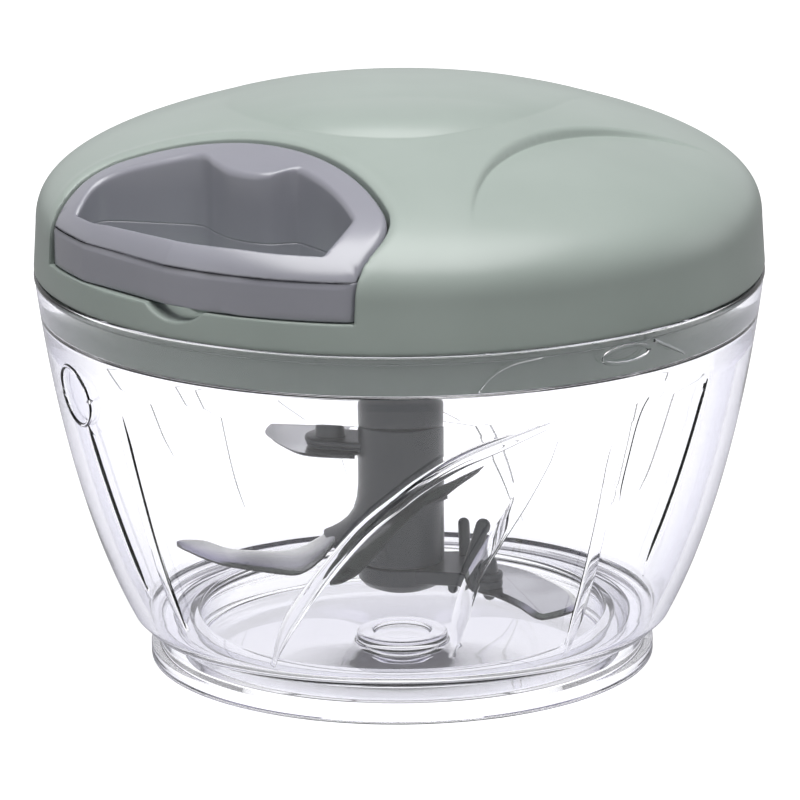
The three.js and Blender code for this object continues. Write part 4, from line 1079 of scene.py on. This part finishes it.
def ground_away(share):
    """How far a curved blade's face lies under its plane: more at both edges, and slightly hollow."""
    return 0.2 * max(0, 1 - min(share, 1 - share) / 0.1) + 0.3 * (2 * share - 1) ** 2


def sheet_blade(name, back, front, thickness, node, across=12):
    """Curved blade between two edges, thinned to a ground edge on both."""
    rings = []
    back, front = np.array(back, float), np.array(front, float)
    along = np.gradient((back + front) / 2, axis=0)
    for a, b, way in zip(back, front, along):
        up = np.cross(way, b - a)
        up /= np.linalg.norm(up)
        if up[2] < 0:
            up = -up
        shares = [0.5 - 0.5 * math.cos(math.pi * k / across) for k in range(across + 1)]
        top = [a + (b - a) * t - up * ground_away(t) for t in shares]
        under = [a + (b - a) * t - up * thickness for t in shares[::-1]]
        rings.append(top + under)
    blade = lofted(name, rings)
    finish_piece(blade, BLADE, "blade_steel", "blade_unit", node, angle=25)
    paint_edge_shade(blade)


def make_blades():
    flat_blade("upper_blade", UPPER_BLADE, 36.5, 37.4, "blade_upper")
    flat_blade("lower_blade", LOWER_BLADE, 14.3, 15.2, "blade_lower", clockwise=True)
    back = [(x, y, left_height(x)) for x, y in blade_curve(LEFT_BACK)]
    front = [(x, y, left_height(x)) for x, y in blade_curve(LEFT_FRONT)]
    sheet_blade("left_blade", back, front, 0.85, "blade_left")
    sheet_blade("front_blade", blade_curve(FRONT_UPPER), blade_curve(FRONT_LOWER), 0.8, "blade_front")


# Cord on the drum, through the eyelet and into the handle, all seen from the handle's own frame
def make_cord(name, points, body, node):
    piece = swept(name, points, [(CORD_RADIUS, CORD_RADIUS)] * len(points), 14, up=(0, 0, 1))
    turn(piece, HANDLE_TURN)
    finish_piece(piece, CORD, "cord_nylon", body, node, angle=60)
    return piece


def on_drum(angle, z):
    return (WINDING_RADIUS * math.cos(angle), WINDING_RADIUS * math.sin(angle), z)


def make_cords():
    winding = []
    for i in range(40 * CORD_TURNS, -1, -1):
        back = TURN * i / 40
        winding.append(on_drum(WINDING_END - back, CORD_HEIGHT - WINDING_PITCH * (1 + back / TURN)))
    make_cord("cord_on_drum", winding, "spindle", "pull_cord_winding")
    first = np.array(on_drum(WINDING_END, CORD_HEIGHT))
    corner = np.array((EYELET_REACH, 0, CORD_HEIGHT))
    before = corner + (first - corner) / np.linalg.norm(first - corner) * 6
    after = corner + (3, 0, 0)
    bend = [(1 - t) ** 2 * before + 2 * t * (1 - t) * corner + t * t * after for t in np.linspace(0, 1, 16)]
    straight = [first + (before - first) * t for t in np.linspace(0, 1, 8)[:-1]]
    wall = (31.3, 0, CORD_HEIGHT)
    make_cord("cord_through_eyelet", straight + bend + [wall], "lid", "pull_cord_run")
    lead = make_cord("cord_to_handle", [(u, 0, CORD_HEIGHT) for u in np.linspace(31.6, 36.7, 28)], None,
                     "pull_cord_lead")
    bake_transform(lead)


make_bowl()
make_cover()
make_shaft()
make_hub()
make_base_ring()
make_blades()
make_cords()
make_handle()
make_lid()

# Carried-over CAD nodes and their finishes
FINISHES = {
    "shaft_bush": WHITE, "spring_arbor": WHITE, "cord_drum": WHITE, "drum_cap": WHITE,
    "recoil_spring": SPRING, "drum_washer": ZINC, "cord_eyelet": BRASS, "cord_stop": BRASS,
}


def dress_carried_nodes():
    for name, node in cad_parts.items():
        finish = FINISHES.get(name, ZINC if "screw" in name else None)
        if finish is None:
            continue
        materials = node.data.materials
        if len(materials) == 0:
            materials.append(finish)
        for place in range(len(materials)):
            materials[place] = finish


dress_carried_nodes()


# Floor, light and camera
CAMERA_PLACE = (-0.00007, -1.20663, 0.38052)
CAMERA_FALL = 15.48
CAMERA_ROLL = -0.45
CAMERA_LENS = 315


def worked_out(tree, operation, *values):
    """Math node's result for numbers and links."""
    return add_node(tree, "Math", dict(enumerate(values)), operation=operation).outputs["Value"]


def make_floor():
    """Floor that takes shadows and shines white to the camera and through the bowl, less in gloss."""
    deselect()
    bpy.ops.mesh.primitive_plane_add(size=8)
    floor = bpy.context.object
    floor.name = "studio_floor"
    material, tree, shader = fresh("pale_floor")
    feed(tree, shader.inputs, {"Base Color": (0.32, 0.32, 0.323, 1), "Roughness": 0.7,
                               "Specular IOR Level": 0.1})
    rays = add_node(tree, "LightPath", {}).outputs
    other = worked_out(tree, "MULTIPLY_ADD", rays["Is Glossy Ray"], 0.15, rays["Is Transmission Ray"])
    seen = worked_out(tree, "MAXIMUM", rays["Is Camera Ray"], other)
    glow = add_node(tree, "Emission", {"Strength": worked_out(tree, "MULTIPLY", seen, 0.95)})
    both = add_node(tree, "AddShader", {0: shader.outputs["BSDF"], 1: glow.outputs["Emission"]})
    feed(tree, tree.nodes["Material Output"].inputs, {"Surface": both.outputs["Shader"]})
    floor.data.materials.append(material)


def world_mix(tree, factor, under, over):
    """Colour that goes from one to another with a factor."""
    return add_node(tree, "Mix", {0: factor, 6: under, 7: over}, data_type="RGBA").outputs[2]


def world_band(tree, value, low, high):
    return add_node(tree, "MapRange", {"Value": value, "From Min": low, "From Max": high},
                    interpolation_type="SMOOTHSTEP").outputs["Result"]


def make_world():
    """White behind the object and through its clear bowl, greyer in gloss, darker towards the ceiling."""
    world = bpy.data.worlds.new("studio")
    bpy.context.scene.world = world
    world.use_nodes = True
    tree = world.node_tree
    rays = add_node(tree, "LightPath", {}).outputs
    place = add_node(tree, "TexCoord", {}).outputs["Generated"]
    split = add_node(tree, "SeparateXYZ", {"Vector": place}).outputs
    high = world_band(tree, split["Z"], 0.15, 0.55)
    through = world_mix(tree, high, (1, 1, 1, 1), (0.55, 0.52, 0.7, 1))
    behind = world_band(tree, split["Y"], -0.35, 0.25)
    low = world_mix(tree, behind, (0.14, 0.14, 0.15, 1), (0.7, 0.7, 0.72, 1))
    mirrored = world_mix(tree, high, low, (0.16, 0.16, 0.17, 1))
    shade = world_mix(tree, rays["Is Glossy Ray"], (0.1, 0.102, 0.107, 1), mirrored)
    shade = world_mix(tree, rays["Is Transmission Ray"], shade, through)
    shade = world_mix(tree, rays["Is Camera Ray"], shade, (1, 1, 1, 1))
    feed(tree, tree.nodes["Background"].inputs, {"Color": shade, "Strength": 1})


def make_lamp(name, place, aim, size, power, tone=(1, 1, 1)):
    lamp = bpy.data.lights.new(name, "AREA")
    lamp.shape = "RECTANGLE"
    lamp.size, lamp.size_y = size
    lamp.energy = power
    lamp.color = tone
    holder = bpy.data.objects.new(name, lamp)
    bpy.context.scene.collection.objects.link(holder)
    holder.location = place
    holder.rotation_euler = (Vector(aim) - Vector(place)).to_track_quat("-Z", "Y").to_euler()


def make_camera():
    camera = bpy.data.cameras.new("camera")
    camera.sensor_width = 36
    camera.lens = CAMERA_LENS
    camera.clip_end = 20
    holder = bpy.data.objects.new("camera", camera)
    bpy.context.scene.collection.objects.link(holder)
    holder.matrix_world = (Matrix.Translation(CAMERA_PLACE)
                           @ Matrix.Rotation(math.radians(90 - CAMERA_FALL), 4, "X")
                           @ Matrix.Rotation(math.radians(CAMERA_ROLL), 4, "Z"))
    bpy.context.scene.camera = holder


make_floor()
make_world()
make_lamp("overhead", (0, -0.2, 0.83), (0, -0.03, 0.06), (0.9, 0.8), 10.6)
make_lamp("left_box", (-0.85, -0.42, 0.35), (0, 0, 0.05), (0.5, 0.5), 0.5)
make_lamp("right_box", (0.95, 0.32, 0.3), (0, 0, 0.05), (0.35, 0.6), 0.5)
make_camera()
bpy.context.scene.view_settings.view_transform = "Standard"
